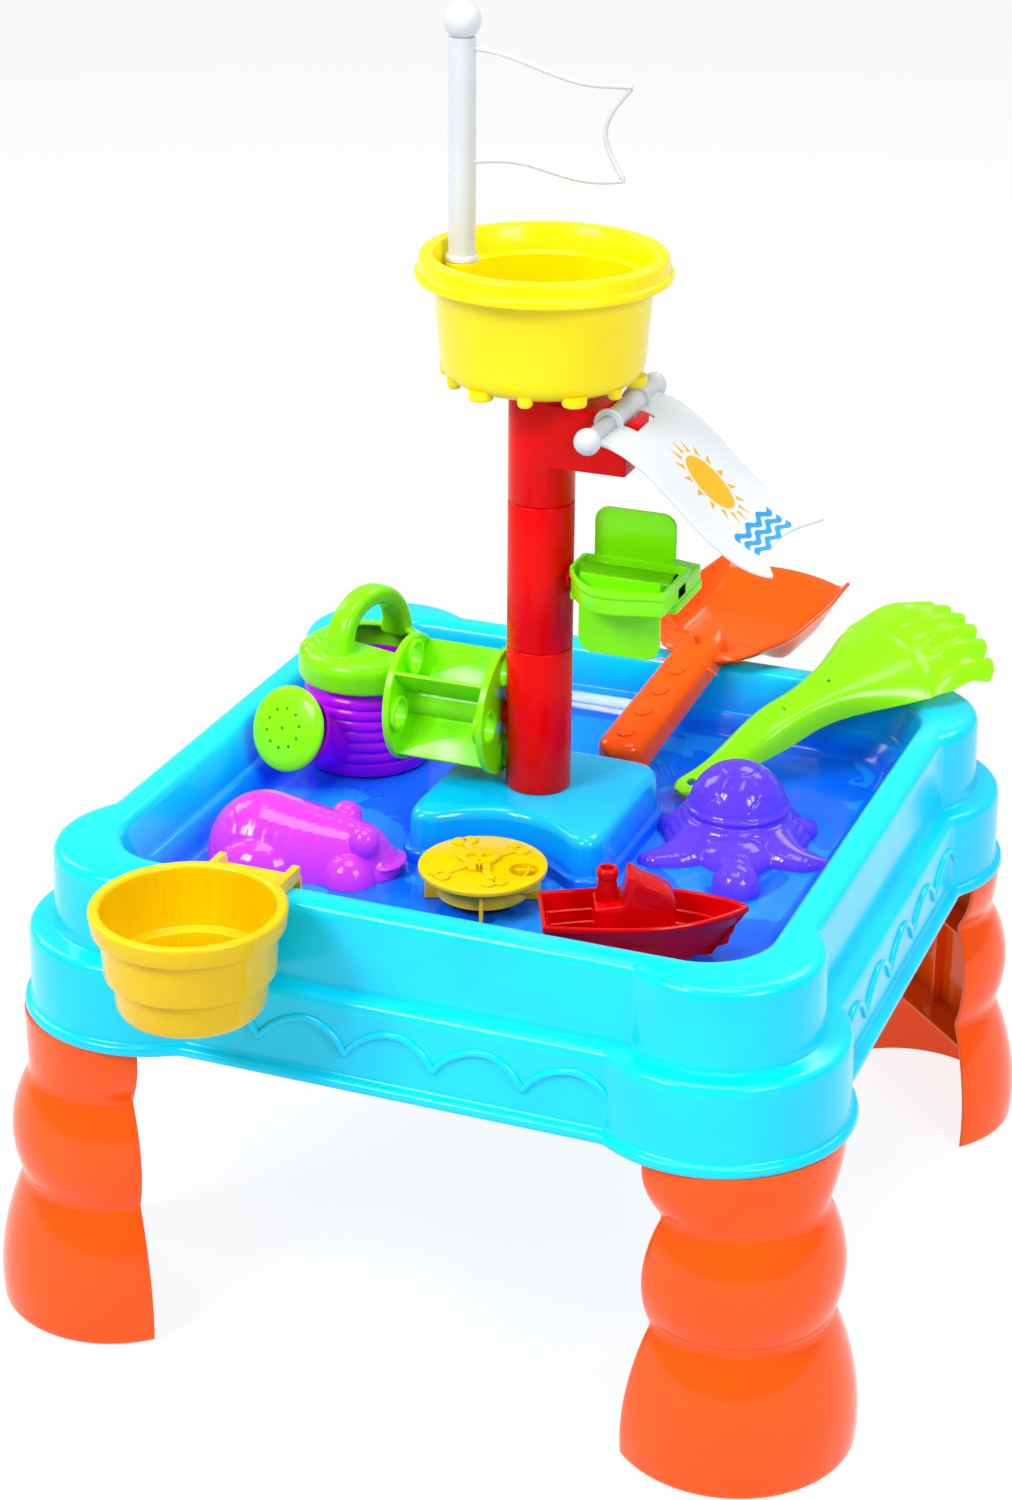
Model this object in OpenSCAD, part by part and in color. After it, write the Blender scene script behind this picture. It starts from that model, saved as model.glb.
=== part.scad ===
// Sand and water table with four legs, a mast with water toys, and loose sand toys.
// The origin is on the floor under the centre of the tub. +Z is up, -Y is the front
// and +X is the right-hand side. All lengths are in millimetres.

/* [Tub] */
// Half the width of the flange along the bottom of the skirt
flange_half = 240; // [235:1:250]
// Half the width of the upper skirt between its corner lobes
upper_half = 220; // [218:1:224]
// Half the width of the lower skirt between its corner lobes
lower_half = 233; // [229:1:236]
// Distance of each corner lobe's centre from the middle planes
lobe_offset = 175; // [172:1:178]
// Height of the rim above the floor
rim_z = 298; // [290:1:310]
// Height of the step between the two skirts
step_z = 248; // [244:1:252]
// Height of the bottom of the flange
flange_z = 195; // [190:1:198]
// Height of the basin's floor
basin_z = 256; // [254:1:260]
// Wall thickness of the tub
tub_wall = 3; // [2.5:0.5:4]

/* [Legs] */
// Distance of each leg's axis from the middle planes
leg_offset = 197; // [195:1:199]
// Wall thickness of the legs
leg_wall = 3; // [2.5:0.5:4]

/* [Mast] */
// Outer radius of the mast
mast_r = 20; // [19:0.5:21]
// Height of the top of the island that the mast stands on
island_z = 289; // [286:1:292]
// Length of each plain mast segment
segment_h = 92.5; // [90:0.5:95]

/* [Mast toys] */
// Height of the paddle wheel's axis
wheel_z = 333.5; // [332:0.5:338]
// Radius of the paddle wheel's discs
wheel_r = 39.6; // [36:0.2:40]
// Height of the tipping rotor's axis
rotor_z = 428.3; // [426:0.1:431]
// Half the width of the sail
sail_half = 52; // [46:1:53]

/* [Hidden] */

$fn = 64;
fit = 0.05;
gap = 0.3;
eps = 0.01;

lobe_r_upper = 58;
lobe_r_lower = 74.3;
lobe_r_flange = 79.2;
flange_h = 6;
basin_top_half = 196;
basin_low_half = 186;
basin_step_z = 271;
basin_corner_r = 38;
island_pos = [1, -6];
island_half = 63;
island_corner_r = 14;
island_notch_r = 54;
rest_z = basin_z + gap;

mast_wall = 3;
mast_bore_r = mast_r - mast_wall;
spigot_h = 12;
seam_1 = island_z + segment_h;
seam_2 = seam_1 + segment_h;
mast_top = 549;
head_spigot_r = 14;

arm_half = 18;
arm_low_z = 499.7;
arm_top_z = 537;
arm_end_x = 58;
rod_x = 48.8;
rod_z = 532.7;
rod_r = 5;
rod_half = 57.65;
rod_ball_r = 7.8;
sleeve_r = 6.5;

wheel_x = [-87.4, -21.9];
wheel_disc_t = 3.5;
wheel_hub_r = 12;
wheel_axle_r = 7;
wheel_lean = 47;

rotor_x = [22.6, 90];
rotor_barrel_r = 11;
rotor_axle_r = 5;
rotor_blade_x = [29.6, 80.4];
rotor_blade_r = 41.4;
rotor_blade_y = [11.6, 14.6];
rotor_wall = 2.6;

nest_base_z = mast_top + gap;
nest_rim_z = 623;
flag_pos = [-50.8, 0];
flag_seat_z = 612.6;
flag_pole_r = 8;
flag_pole_top = 741;
flag_ball_z = 750;
flag_ball_r = 10.9;

cup_pos = [-102.5, -271];
cup_rim_z = 313;

can_pos = [-144, 66.5];
can_az = -108;
can_top_z = 315;

hippo_pos = [-116, -94];
hippo_az = 8;
turtle_pos = [116, 42];
turtle_az = -73;
stamp_pos = [3, -99];
boat_pos = [61, -157];
boat_az = 24.4;
shovel_pos = [18.5, 89, 264.5];
shovel_turn = [0, -18, 78.9];
rake_pos = [66, 76, 263];
rake_turn = [12, -17.5, 53];

// ---- shared shapes ----

// Points of a square with round corners
function rounded_square(half, r, n = 6) = [
    for (q = [0:3], k = [0:n])
        let (a = 90 * q + 90 * k / n, s = half - r)
        [(q == 0 || q == 3 ? s : -s) + r * cos(a), (q < 2 ? s : -s) + r * sin(a)]
];

module rounded_block(half, r, z0, z1) {
    translate([0, 0, z0]) linear_extrude(z1 - z0) polygon(rounded_square(half, r));
}

module box(x, y, z) {
    translate([x[0], y[0], z[0]]) cube([x[1] - x[0], y[1] - y[0], z[1] - z[0]]);
}

module rod_x(x, y, z, r) {
    translate([x[0], y, z]) rotate([0, 90, 0]) cylinder(h = x[1] - x[0], r = r);
}

module rod_y(x, y, z, r) {
    translate([x, y[1], z]) rotate([90, 0, 0]) cylinder(h = y[1] - y[0], r = r);
}

module column(x, y, z, r, r_top = 0) {
    translate([x, y, z[0]]) cylinder(h = z[1] - z[0], r1 = r, r2 = r_top > 0 ? r_top : r);
}

// Square with a round lobe on each corner
module lobed_square(half, r) {
    square(2 * half, center = true);
    for (sx = [-1, 1], sy = [-1, 1]) translate([sx * lobe_offset, sy * lobe_offset]) circle(r);
}

module lobed_block(half, r, z0, z1) {
    translate([0, 0, z0]) linear_extrude(z1 - z0) lobed_square(half, r);
}

// ---- tub ----

module island_outline(grow) {
    difference() {
        translate(island_pos) polygon(rounded_square(island_half + grow, island_corner_r));
        translate([stamp_pos[0], stamp_pos[1]]) circle(island_notch_r - grow);
    }
}

// Outer edge of the raised wave line along a skirt
function wave_z(u) = 214 + 14 * abs(sin(180 * (u + 150) / 64)) + 3 * sin(u);

module wave_line() {
    us = [for (k = [-30:30]) 5 * k];
    translate([0, 1, 0]) rotate([90, 0, 0]) linear_extrude(2.4)
        strip([for (u = us) [u, wave_z(u)]], [for (u = us) [u, wave_z(u) - 4]]);
}

module tub() {
    color("deepskyblue") {
        for (a = [0:90:270]) rotate([0, 0, a]) translate([0, -lower_half, 0]) wave_line();
        difference() {
            union() {
                lobed_block(flange_half, lobe_r_flange, flange_z, flange_z + flange_h);
                lobed_block(lower_half, lobe_r_lower, flange_z, step_z);
                lobed_block(upper_half, lobe_r_upper, flange_z, rim_z);
            }
            lobed_block(lower_half - tub_wall, lobe_r_lower - tub_wall, flange_z - 1,
                step_z - tub_wall);
            difference() {
                lobed_block(upper_half - tub_wall, lobe_r_upper - tub_wall, flange_z - 1,
                    rim_z - tub_wall);
                rounded_block(basin_top_half + tub_wall, basin_corner_r, basin_step_z - tub_wall,
                    rim_z);
                rounded_block(basin_low_half + tub_wall, basin_corner_r, basin_z - tub_wall, rim_z);
            }
            rounded_block(basin_top_half, basin_corner_r, basin_step_z, rim_z + 1);
            rounded_block(basin_low_half, basin_corner_r, basin_z, rim_z + 1);
        }
        difference() {
            translate([0, 0, basin_z - tub_wall]) linear_extrude(island_z - basin_z + tub_wall)
                island_outline(0);
            translate([0, 0, basin_z - tub_wall - 1])
                linear_extrude(island_z - basin_z - tub_wall + 1 + tub_wall) island_outline(-tub_wall);
            column(0, 0, [basin_z, island_z + 1], mast_bore_r);
        }
    }
}

// ---- legs ----

leg_low_waist = 85;
leg_high_waist = 155;
leg_top_z = flange_z - fit;
leg_bulb_offset = 185;
leg_cut = 281 - sqrt(2) * leg_offset;
leg_bulb_y = sqrt(2) * (leg_bulb_offset - leg_offset);
leg_bulb_z = 150;
leg_plug_r = 56;

// Outer radius of a leg at a height: a foot and a second bulb between two waists
function leg_r(z) =
    z < leg_low_waist
        ? 54.5 + 18 * pow(max(0, cos(90 * (z - 14) / (leg_low_waist - 14))), 0.8)
    : z < leg_high_waist
        ? let (t = (z - leg_low_waist) / (leg_high_waist - leg_low_waist))
          54.5 - 6 * t + 7.6 * sin(180 * t)
    : 48.5 - 0.12 * (z - leg_high_waist);

// Outer radius of the bulb under the tub's corner
function leg_bulb_r(z) = 51 + 14.4 * sin(min(90, 90 * (z - leg_bulb_z) / 36));

// Solid of revolution of both leg profiles, thinned by an inset
module leg_solid(inset) {
    low = [for (k = [0:26]) leg_top_z * k / 26];
    high = [for (k = [0:10]) leg_bulb_z + (leg_top_z - leg_bulb_z) * k / 10];
    rotate_extrude() polygon(concat([[0, 0]], [for (z = low) [leg_r(z) - inset, z]], [[0, leg_top_z]]));
    translate([0, leg_bulb_y, 0]) rotate_extrude()
        polygon(concat([[0, leg_bulb_z]], [for (z = high) [leg_bulb_r(z) - inset, z]],
            [[0, leg_top_z]]));
}

// Half-round leg: the shell is on the outside and its cut face looks at the table's centre
module leg(sx, sy) {
    az = atan2(sy, sx);
    color("orangered") translate([sx * leg_offset, sy * leg_offset, 0]) rotate([0, 0, az - 90]) {
        difference() {
            leg_solid(0);
            leg_solid(leg_wall);
            box([-100, 100], [-100, leg_cut], [-1, 250]);
        }
        // shelves at the waists and the top, and crossed ribs between them
        intersection() {
            leg_solid(1);
            union() {
                box([-90, 90], [leg_cut, 90], [70, 72.4]);
                box([-90, 90], [leg_cut, 90], [leg_high_waist - 6, leg_high_waist - 3.6]);
                box([-90, 90], [leg_cut, 90], [leg_top_z - leg_wall, leg_top_z]);
                box([-1.2, 1.2], [16, 90], [70, leg_top_z]);
                box([-90, 90], [24, 26.4], [leg_high_waist - 6, leg_top_z]);
            }
        }
        // plug that is pushed up into the tub's corner
        difference() {
            column(0, leg_bulb_y, [leg_top_z - leg_wall, step_z - tub_wall - fit], leg_plug_r);
            column(0, leg_bulb_y, [leg_top_z - leg_wall - 1, step_z - tub_wall - fit - leg_wall],
                leg_plug_r - leg_wall);
            box([-100, 100], [-100, leg_cut], [-1, 250]);
        }
    }
}

module leg_front_left() { leg(-1, -1); }
module leg_front_right() { leg(1, -1); }
module leg_back_left() { leg(-1, 1); }
module leg_back_right() { leg(1, 1); }

// ---- mast ----

module mast_tube(z0, z1) {
    difference() {
        column(0, 0, [z0, z1], mast_r);
        column(0, 0, [z0 - 1, z1 + 1], mast_bore_r);
    }
}

// Thinner tube that plugs one segment into the next, with its root inside its own segment
module mast_spigot(root, tip) {
    difference() {
        union() {
            column(0, 0, root, mast_bore_r + 0.5);
            column(0, 0, [min(root[0], tip[0]), max(root[1], tip[1])], mast_bore_r - fit);
        }
        column(0, 0, [min(root[0], tip[0]) - 1, max(root[1], tip[1]) + 1], mast_bore_r - mast_wall);
    }
}

module mast_lower() {
    color("firebrick") difference() {
        union() {
            mast_tube(island_z + fit, seam_1 - fit);
            mast_spigot([island_z + fit, island_z + 5], [island_z - spigot_h, island_z + 5]);
            mast_spigot([seam_1 - 7, seam_1 - fit], [seam_1 - 7, seam_1 + spigot_h]);
            difference() {
                rod_x([-mast_r - 0.9, -8], 0, wheel_z, wheel_axle_r + 2);
                column(0, 0, [wheel_z - 20, wheel_z + 20], mast_bore_r - 2);
            }
        }
        rod_x([-mast_r - 2, 0], 0, wheel_z, wheel_axle_r + fit);
    }
}

module mast_middle() {
    color("firebrick") difference() {
        union() {
            mast_tube(seam_1 + fit, seam_2 - fit);
            mast_spigot([seam_2 - 7, seam_2 - fit], [seam_2 - 7, seam_2 + spigot_h]);
            difference() {
                rod_x([8, mast_r + 1.2], 0, rotor_z, rotor_axle_r + 2.5);
                column(0, 0, [rotor_z - 20, rotor_z + 20], mast_bore_r - 2);
            }
        }
        rod_x([0, mast_r + 3], 0, rotor_z, rotor_axle_r + fit);
    }
}

module mast_head() {
    tab_x = [rod_x + sleeve_r + 0.7, arm_end_x + 4.5];
    color("firebrick") {
        difference() {
            union() {
                column(0, 0, [seam_2 + fit, mast_top], mast_r);
                box([0, arm_end_x], [-arm_half, arm_half], [arm_low_z, arm_top_z]);
            }
            column(0, 0, [seam_2 - 1, mast_top - mast_wall], mast_bore_r);
            box([mast_r + 1, arm_end_x - mast_wall], [mast_wall - arm_half, arm_half - mast_wall],
                [arm_low_z - 1, rod_z - sleeve_r - gap - mast_wall]);
            // cradle for the sail's rod, open to the top
            rod_y(rod_x, [-arm_half - 1, arm_half + 1], rod_z, sleeve_r + gap);
            box([rod_x - sleeve_r - gap, arm_end_x + 1], [-arm_half - 1, arm_half + 1],
                [rod_z, arm_top_z + 1]);
            box([rod_x + 2, arm_end_x + 1], [-arm_half - 1, arm_half + 1], [517.5, arm_top_z + 1]);
        }
        // hook tab that the sail's slot fits over
        difference() {
            box(tab_x, [-14, 14], [512, 531]);
            for (sy = [-1, 1]) translate([tab_x[1], sy * 14, 520]) rotate([0, 0, 45])
                cube([5, 5, 40], center = true);
            box([arm_end_x, tab_x[1] + 1], [-15, 15], [511, 522]);
        }
        difference() {
            column(0, 0, [mast_top - 1, mast_top + spigot_h], head_spigot_r);
            column(0, 0, [mast_top - 2, mast_top + spigot_h + 1], head_spigot_r - 2.5);
        }
    }
}

module wheel_axle() {
    color("firebrick") {
        rod_x([wheel_x[0] - 1.2, -mast_bore_r + 6], 0, wheel_z, wheel_axle_r);
        rod_x([wheel_x[0] - 4.2, wheel_x[0] - 1.2], 0, wheel_z, wheel_axle_r + 2.5);
    }
}

module rotor_axle() {
    color("firebrick") {
        rod_x([mast_bore_r - 6, 85.4], 0, rotor_z, rotor_axle_r);
        rod_x([85.4, 87.6], 0, rotor_z, rotor_axle_r + 1.6);
    }
}

// ---- paddle wheel and rotor ----

module paddle_wheel() {
    color("chartreuse") difference() {
        union() {
            rod_x([wheel_x[0], wheel_x[0] + wheel_disc_t], 0, wheel_z, wheel_r);
            rod_x([wheel_x[1] - wheel_disc_t, wheel_x[1]], 0, wheel_z, wheel_r);
            rod_x(wheel_x, 0, wheel_z, wheel_hub_r);
            for (k = [0:3]) translate([0, 0, wheel_z]) rotate([90 * k + wheel_lean, 0, 0])
                box([wheel_x[0] + 1, wheel_x[1] - 1], [10, wheel_r - 0.8], [-1.25, 1.25]);
        }
        rod_x([wheel_x[0] - 1, wheel_x[1] + 1], 0, wheel_z, wheel_axle_r + fit);
        for (k = [0:3]) translate([0, 0, wheel_z]) rotate([90 * k + wheel_lean + 45, 0, 0])
            rod_x([wheel_x[0] - 1, wheel_x[1] + 1], 26.5, 0, 9.5);
    }
}

// Plan outline of a rotor tray: straight back and sides, bowed front
function tray_outline(inset) = concat(
    [[rotor_x[1] - inset, 12 - inset], [rotor_x[0] + inset, 12 - inset]],
    [for (k = [0:10]) let (t = k / 10, x0 = rotor_x[0] + inset, x1 = rotor_x[1] - inset)
        [x0 + (x1 - x0) * t, inset - 31 - 13 * sin(180 * min(1, t * 1.06)) + 10 * pow(t, 6)]]
);

module rotor_tray() {
    difference() {
        hull() {
            translate([0, 0, 9.6]) linear_extrude(1.2) polygon(tray_outline(0));
            box(rotor_x, [-18, 12], [-11, -9]);
        }
        hull() {
            translate([0, 0, 10]) linear_extrude(2) polygon(tray_outline(rotor_wall));
            box([rotor_x[0] + rotor_wall, rotor_x[1] - 7], [-16, 9.4], [-11 + rotor_wall, -8]);
        }
    }
}

module tipping_rotor() {
    color("chartreuse") translate([0, 0, rotor_z]) difference() {
        union() {
            rod_x(rotor_x, 0, 0, rotor_barrel_r);
            for (turn = [0, 180]) rotate([turn, 0, 0]) {
                rotor_tray();
                translate([0, rotor_blade_y[1], 0]) rotate([90, 0, 0])
                    linear_extrude(rotor_blade_y[1] - rotor_blade_y[0])
                    rotor_blade();
            }
        }
        rod_x([rotor_x[0] - 1, rotor_x[1] - 3], 0, 0, rotor_axle_r + fit);
        translate([rotor_x[1] - 5, 0, 0]) rotate([0, 90, 0]) rotate([0, 0, 30])
            cylinder(h = 8, r = 8.4, $fn = 6);
    }
}

module rotor_blade() {
    r = 9;
    x = rotor_blade_x;
    polygon(concat(
        [[x[0], -8], [x[1], -8]],
        [for (k = [0:6]) [x[1] - r + r * cos(15 * k), rotor_blade_r - r + r * sin(15 * k)]],
        [for (k = [6:12]) [x[0] + r + r * cos(15 * k), rotor_blade_r - r + r * sin(15 * k)]]
    ));
}

// ---- sail ----

sail_t = 2.2;
// Height of the sail's top face below the rod's centre, at a distance from the rod
function sail_drop(u) = 1.2 + 34 * (1 - cos(180 * u / 110)) - 0.06 * max(0, u - 60);

module sail_rod() {
    color("white") {
        rod_y(rod_x, [-rod_half, rod_half], rod_z, rod_r);
        for (sy = [-1, 1]) translate([rod_x, sy * rod_half, rod_z]) sphere(rod_ball_r);
    }
}

module sail_sheet() {
    steps = 16;
    reach = 110;
    top = [for (k = [0:steps]) let (u = reach * k / steps) [rod_x + u, rod_z - sail_drop(u)]];
    low = [for (k = [steps:-1:0]) top[k] - [0, sail_t]];
    color("whitesmoke") difference() {
        union() {
            difference() {
                translate([0, sail_half, 0]) rotate([90, 0, 0]) linear_extrude(2 * sail_half)
                    polygon(concat(top, low));
                box([rod_x - 9, 67.5], [-15.6, 15.6], [500, 560]);
                box([rod_x - 9, rod_x + 5], [-60, 60], [500, rod_z - 4]);
                column(rod_x + reach + 92, 0, [400, 500], 105);
            }
            rod_y(rod_x, [-21, 25], rod_z, sleeve_r);
            for (y = [-23, 25]) rod_y(rod_x, [y, y + 2], rod_z, sleeve_r + 2.4);
        }
        rod_y(rod_x, [-70, 70], rod_z, rod_r + fit);
    }
}

// ---- crow's nest and flag ----

module nest_bucket() {
    z0 = nest_base_z;
    outer = [
        [0, z0], [50, z0], [55, z0 + 1.8], [58.8, z0 + 6], [60.2, z0 + 12], [63.4, nest_rim_z - 16],
        [71, nest_rim_z - 14], [74, nest_rim_z - 9.5], [74, nest_rim_z - 6.5],
        [72.2, nest_rim_z - 5.5], [71, nest_rim_z - 2], [68.5, nest_rim_z], [64.5, nest_rim_z],
        [63, nest_rim_z - 1.2], [61, nest_rim_z - 15], [58.4, nest_rim_z - 17],
        [57, z0 + 12], [55.6, z0 + 7.5], [52, z0 + 3.4], [49, z0 + 2.6], [0, z0 + 2.6]
    ];
    color("gold") difference() {
        union() {
            rotate_extrude() polygon(outer);
            column(0, 0, [z0 + 1, z0 + spigot_h + 4], head_spigot_r + 3);
            column(flag_pos[0], flag_pos[1], [z0 + 5, flag_seat_z], 11);
            for (k = [0:11]) rotate([0, 0, 30 * k + 10])
                column(54, 0, [z0 - 2.6, z0 + 4], k % 2 == 0 ? 7.4 : 4.4);
        }
        column(0, 0, [z0 - 3, z0 + spigot_h + 0.6], head_spigot_r + fit);
        column(flag_pos[0], flag_pos[1], [flag_seat_z - 30, flag_seat_z + 1], 6 + fit);
        for (a = [0:45:315]) rotate([0, 0, a]) column(33, 0, [z0 - 1, z0 + 4], 2.5);
    }
}

flag_w = 3.4;
flag_t = 2.4;

// Upper and lower hems of the flag, as heights along its length
function hem_top(u) = 736.6 - 7.4 * (1 - cos(180 * min(1, u / 76))) + 0.045 * max(0, u - 76);
function hem_low(u) = 668.9 + 3 * sin(3.6 * u) - 0.02 * u;
function fly_x(t) = 44 + 9 * pow(abs(2 * t - 1), 1.5) * (t < 0.5 ? 0.55 : 1) - 7 * sin(180 * t);

// One wavy strip between two lists of points
module strip(a, b) {
    polygon(concat(a, [for (k = [len(b) - 1:-1:0]) b[k]]));
}

module flag_frame() {
    x0 = flag_pos[0] + flag_pole_r - 1;
    n = 12;
    us = [for (k = [0:n]) 97 * k / n];
    strip([for (u = us) [x0 + u, hem_top(u)]], [for (u = us) [x0 + u, hem_top(u) - flag_w]]);
    strip([for (u = us) [x0 + u * 0.94, hem_low(u)]], [for (u = us) [x0 + u * 0.94, hem_low(u) + flag_w]]);
    z0 = hem_low(97);
    z1 = hem_top(97);
    ts = [for (k = [0:n]) k / n];
    strip([for (t = ts) [fly_x(t), z0 + (z1 - z0) * t]],
        [for (t = ts) [fly_x(t) - flag_w, z0 + (z1 - z0) * t]]);
}

module flag() {
    color("white") {
        column(flag_pos[0], flag_pos[1], [flag_seat_z + 4, flag_pole_top], flag_pole_r);
        column(flag_pos[0], flag_pos[1], [flag_seat_z + fit, flag_seat_z + 4], 9.7);
        column(flag_pos[0], flag_pos[1], [flag_seat_z - 27, flag_seat_z + 2], 6);
        translate([flag_pos[0], flag_pos[1], flag_ball_z]) sphere(flag_ball_r);
        translate([0, flag_t / 2, 0]) rotate([90, 0, 0]) linear_extrude(flag_t) flag_frame();
    }
}

// ---- loose toys ----

module hook_cup() {
    z = cup_rim_z;
    wall = 2.4;
    profile = [
        [0, z - 63.6], [34, z - 63.6], [40, z - 62], [42.2, z - 58], [43.4, z - 40.5], [48, z - 39.5],
        [49.4, z - 13], [54, z - 12], [55.2, z - 1.5], [54, z], [50, z], [48.4, z - 1.5],
        [47, z - 37.5], [41.4, z - 38.5], [40, z - 57.6], [38.6, z - 60], [34, z - 61.2], [0, z - 61.2]
    ];
    hook_x = [-19, 32];
    color("gold") translate([cup_pos[0], cup_pos[1], 0]) {
        rotate_extrude() polygon(profile);
        difference() {
            union() {
                box(hook_x, [44, 76], [rim_z + gap, rim_z + gap + wall]);
                for (x = [hook_x[0], hook_x[1] - 5])
                    box([x, x + 5], [44, 77], [rim_z + gap, rim_z + gap + 9]);
                box([hook_x[0], hook_x[1]], [76, 76 + wall], [rim_z - 14, rim_z + gap + wall]);
            }
            column(0, 0, [z - 20, z + 1], 50);
        }
    }
}

rib_pitch = 7.2;

module can_body() {
    z0 = rest_z;
    ribs = [for (k = [0:5]) let (z = z0 + 9 + rib_pitch * k) each [[38.6, z], [40.2, z + rib_pitch / 2]]];
    wall = 2;
    profile = concat([[0, z0], [37, z0], [40.5, z0 + 4]], ribs, [[38.3, can_top_z - 6], [38.3, can_top_z + 4],
        [38.3 - wall, can_top_z + 4], [38.3 - wall, z0 + 6], [35, z0 + wall], [0, z0 + wall]]);
    color("darkviolet") translate([can_pos[0], can_pos[1], 0]) difference() {
        union() {
            rotate_extrude() polygon(profile);
            difference() {
                rotate([0, 0, can_az]) translate([28, 0, z0 + 16]) rotate([0, 58, 0])
                    cylinder(h = 54, r1 = 12, r2 = 19);
                column(0, 0, [z0 + wall, can_top_z], 36);
                rotate([0, 0, can_az]) can_rose_cut();
            }
        }
        rotate([0, 0, can_az]) translate([24, 0, z0 + 13.5]) rotate([0, 58, 0])
            cylinder(h = 60, r1 = 9, r2 = 17);
    }
}

rose_reach = 82.6;
rose_z = 302;
rose_tilt = 68;

// Everything beyond the plane where the rose starts
module can_rose_cut() {
    translate([rose_reach, 0, rose_z]) rotate([0, rose_tilt, 0]) translate([0, 0, -16])
        cylinder(h = 60, r = 60);
}

module can_rose() {
    color("chartreuse") translate([can_pos[0], can_pos[1], 0]) rotate([0, 0, can_az])
        translate([rose_reach, 0, rose_z]) rotate([0, rose_tilt, 0]) difference() {
            union() {
                translate([0, 0, -4]) cylinder(h = 4, r = 27.4);
                translate([0, 0, -16]) cylinder(h = 12, r1 = 19.5, r2 = 27);
            }
            translate([0, 0, -16.5]) cylinder(h = 14, r1 = 17.5, r2 = 25);
            cylinder(h = 20, r = 1.2, center = true, $fn = 16);
            for (k = [0:9]) rotate([0, 0, 36 * k]) translate([13, 0, 0])
                cylinder(h = 20, r = 1.2, center = true, $fn = 16);
        }
}

module can_lid() {
    z0 = can_top_z;
    color("chartreuse") translate([can_pos[0], can_pos[1], 0]) rotate([0, 0, can_az]) {
        difference() {
            rotate_extrude() polygon([
                [38.7, z0], [43.4, z0], [44, z0 + 3], [43.6, z0 + 14], [40.5, z0 + 20],
                [34, z0 + 23], [0, z0 + 25.5], [0, z0 + 23], [33, z0 + 20.6], [38.7, z0 + 17]
            ]);
            // D-shaped filling hole behind the handle's front foot
            intersection() {
                column(0, 0, [z0, z0 + 40], 31);
                box([-32, 10], [-32, 32], [z0, z0 + 40]);
            }
        }
        // arched handle from the front of the lid to its back edge
        difference() {
            intersection() {
                translate([-9, 0, z0 + 20]) rotate([90, 0, 0])
                    cylinder(h = 15, r = 35.5, center = true);
                box([-60, 60], [-10, 10], [z0 + 19, z0 + 70]);
            }
            translate([-9, 0, z0 + 18]) rotate([90, 0, 0]) cylinder(h = 20, r = 21.5, center = true);
            column(0, 0, [z0, z0 + 21.5], 31);
        }
    }
}

// Hollow mould lying open side down: a hull of round lumps with a thinner hull inside
module lumps(list, wall) {
    hull() for (s = list) translate([s[0], s[1], s[2]]) sphere(s[3] - wall, $fn = 32);
}

module hippo_mould() {
    body = [[-24, 2, 2, 37], [6, 0, 0, 36], [30, 2, -2, 28]];
    legs = [[30, -34, 0, 16], [-8, -36, 0, 15], [-30, -28, 0, 15]];
    ears = [[26, 20, 24, 9], [34, -10, 26, 9]];
    snout = [48, 2, 0, 16];
    color("mediumorchid") translate([hippo_pos[0], hippo_pos[1], rest_z]) rotate([0, 0, hippo_az])
        difference() {
            union() {
                lumps(body, 0);
                for (s = concat(legs, ears, [snout])) translate([s[0], s[1], s[2]]) sphere(s[3]);
            }
            lumps(body, 2.2);
            for (s = concat(legs, [snout])) translate([s[0], s[1], s[2]]) sphere(s[3] - 2.2);
            translate([0, 0, -100]) cube(200, center = true);
        }
}

// Each fin: direction from the shell, length, root half-width and tip radius
turtle_fins = [
    [51, 71, 17, 8], [-51, 74, 17, 8], [100, 49, 15, 7], [-100, 49, 15, 7], [0, 76, 13, 12]
];
turtle_shell_z = 8;

module turtle_mould() {
    color("mediumslateblue") translate([turtle_pos[0], turtle_pos[1], rest_z])
        rotate([0, 0, turtle_az]) difference() {
            union() {
                translate([0, 0, turtle_shell_z]) sphere(36);
                column(0, 0, [0, 13], 46, 38);
                translate([79, 0, 3]) sphere(15.5);
                for (s = turtle_fins) turtle_fin(s, 0);
            }
            translate([0, 0, turtle_shell_z]) sphere(33.8);
            column(0, 0, [-0.1, 11], 43.6, 36);
            translate([79, 0, 3]) sphere(13.3);
            for (s = turtle_fins) turtle_fin(s, 2.2);
            translate([0, 0, -100]) cube(200, center = true);
        }
}

module turtle_fin(s, wall) {
    rotate([0, 0, s[0]]) translate([0, 0, -2 * wall]) linear_extrude(9 + wall) {
        polygon([[20, wall - s[2]], [s[1] - s[3], wall - s[3]], [s[1] - s[3], s[3] - wall],
            [20, s[2] - wall]]);
        translate([s[1] - s[3], 0]) circle(s[3] - wall);
    }
}

module sand_stamp() {
    z0 = rest_z;
    top = 279;
    r = 38.3;
    color("goldenrod") translate([stamp_pos[0], stamp_pos[1], 0]) difference() {
        union() {
            column(0, 0, [top - 4, top], r);
            difference() {
                column(0, 0, [z0, top - 3], 35);
                column(0, 0, [z0 - 1, top], 33);
                for (k = [0:3]) rotate([0, 0, 90 * k + 18]) box([3, 60], [3, 60], [z0 - 1, top - 4]);
            }
            for (k = [0:1]) rotate([0, 0, 90 * k + 18]) box([-34, 34], [-1.3, 1.3], [z0, top - 3]);
            stamp_relief(top);
        }
        column(24, 3, [top - 2, top + 1], 8);
    }
}

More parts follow.
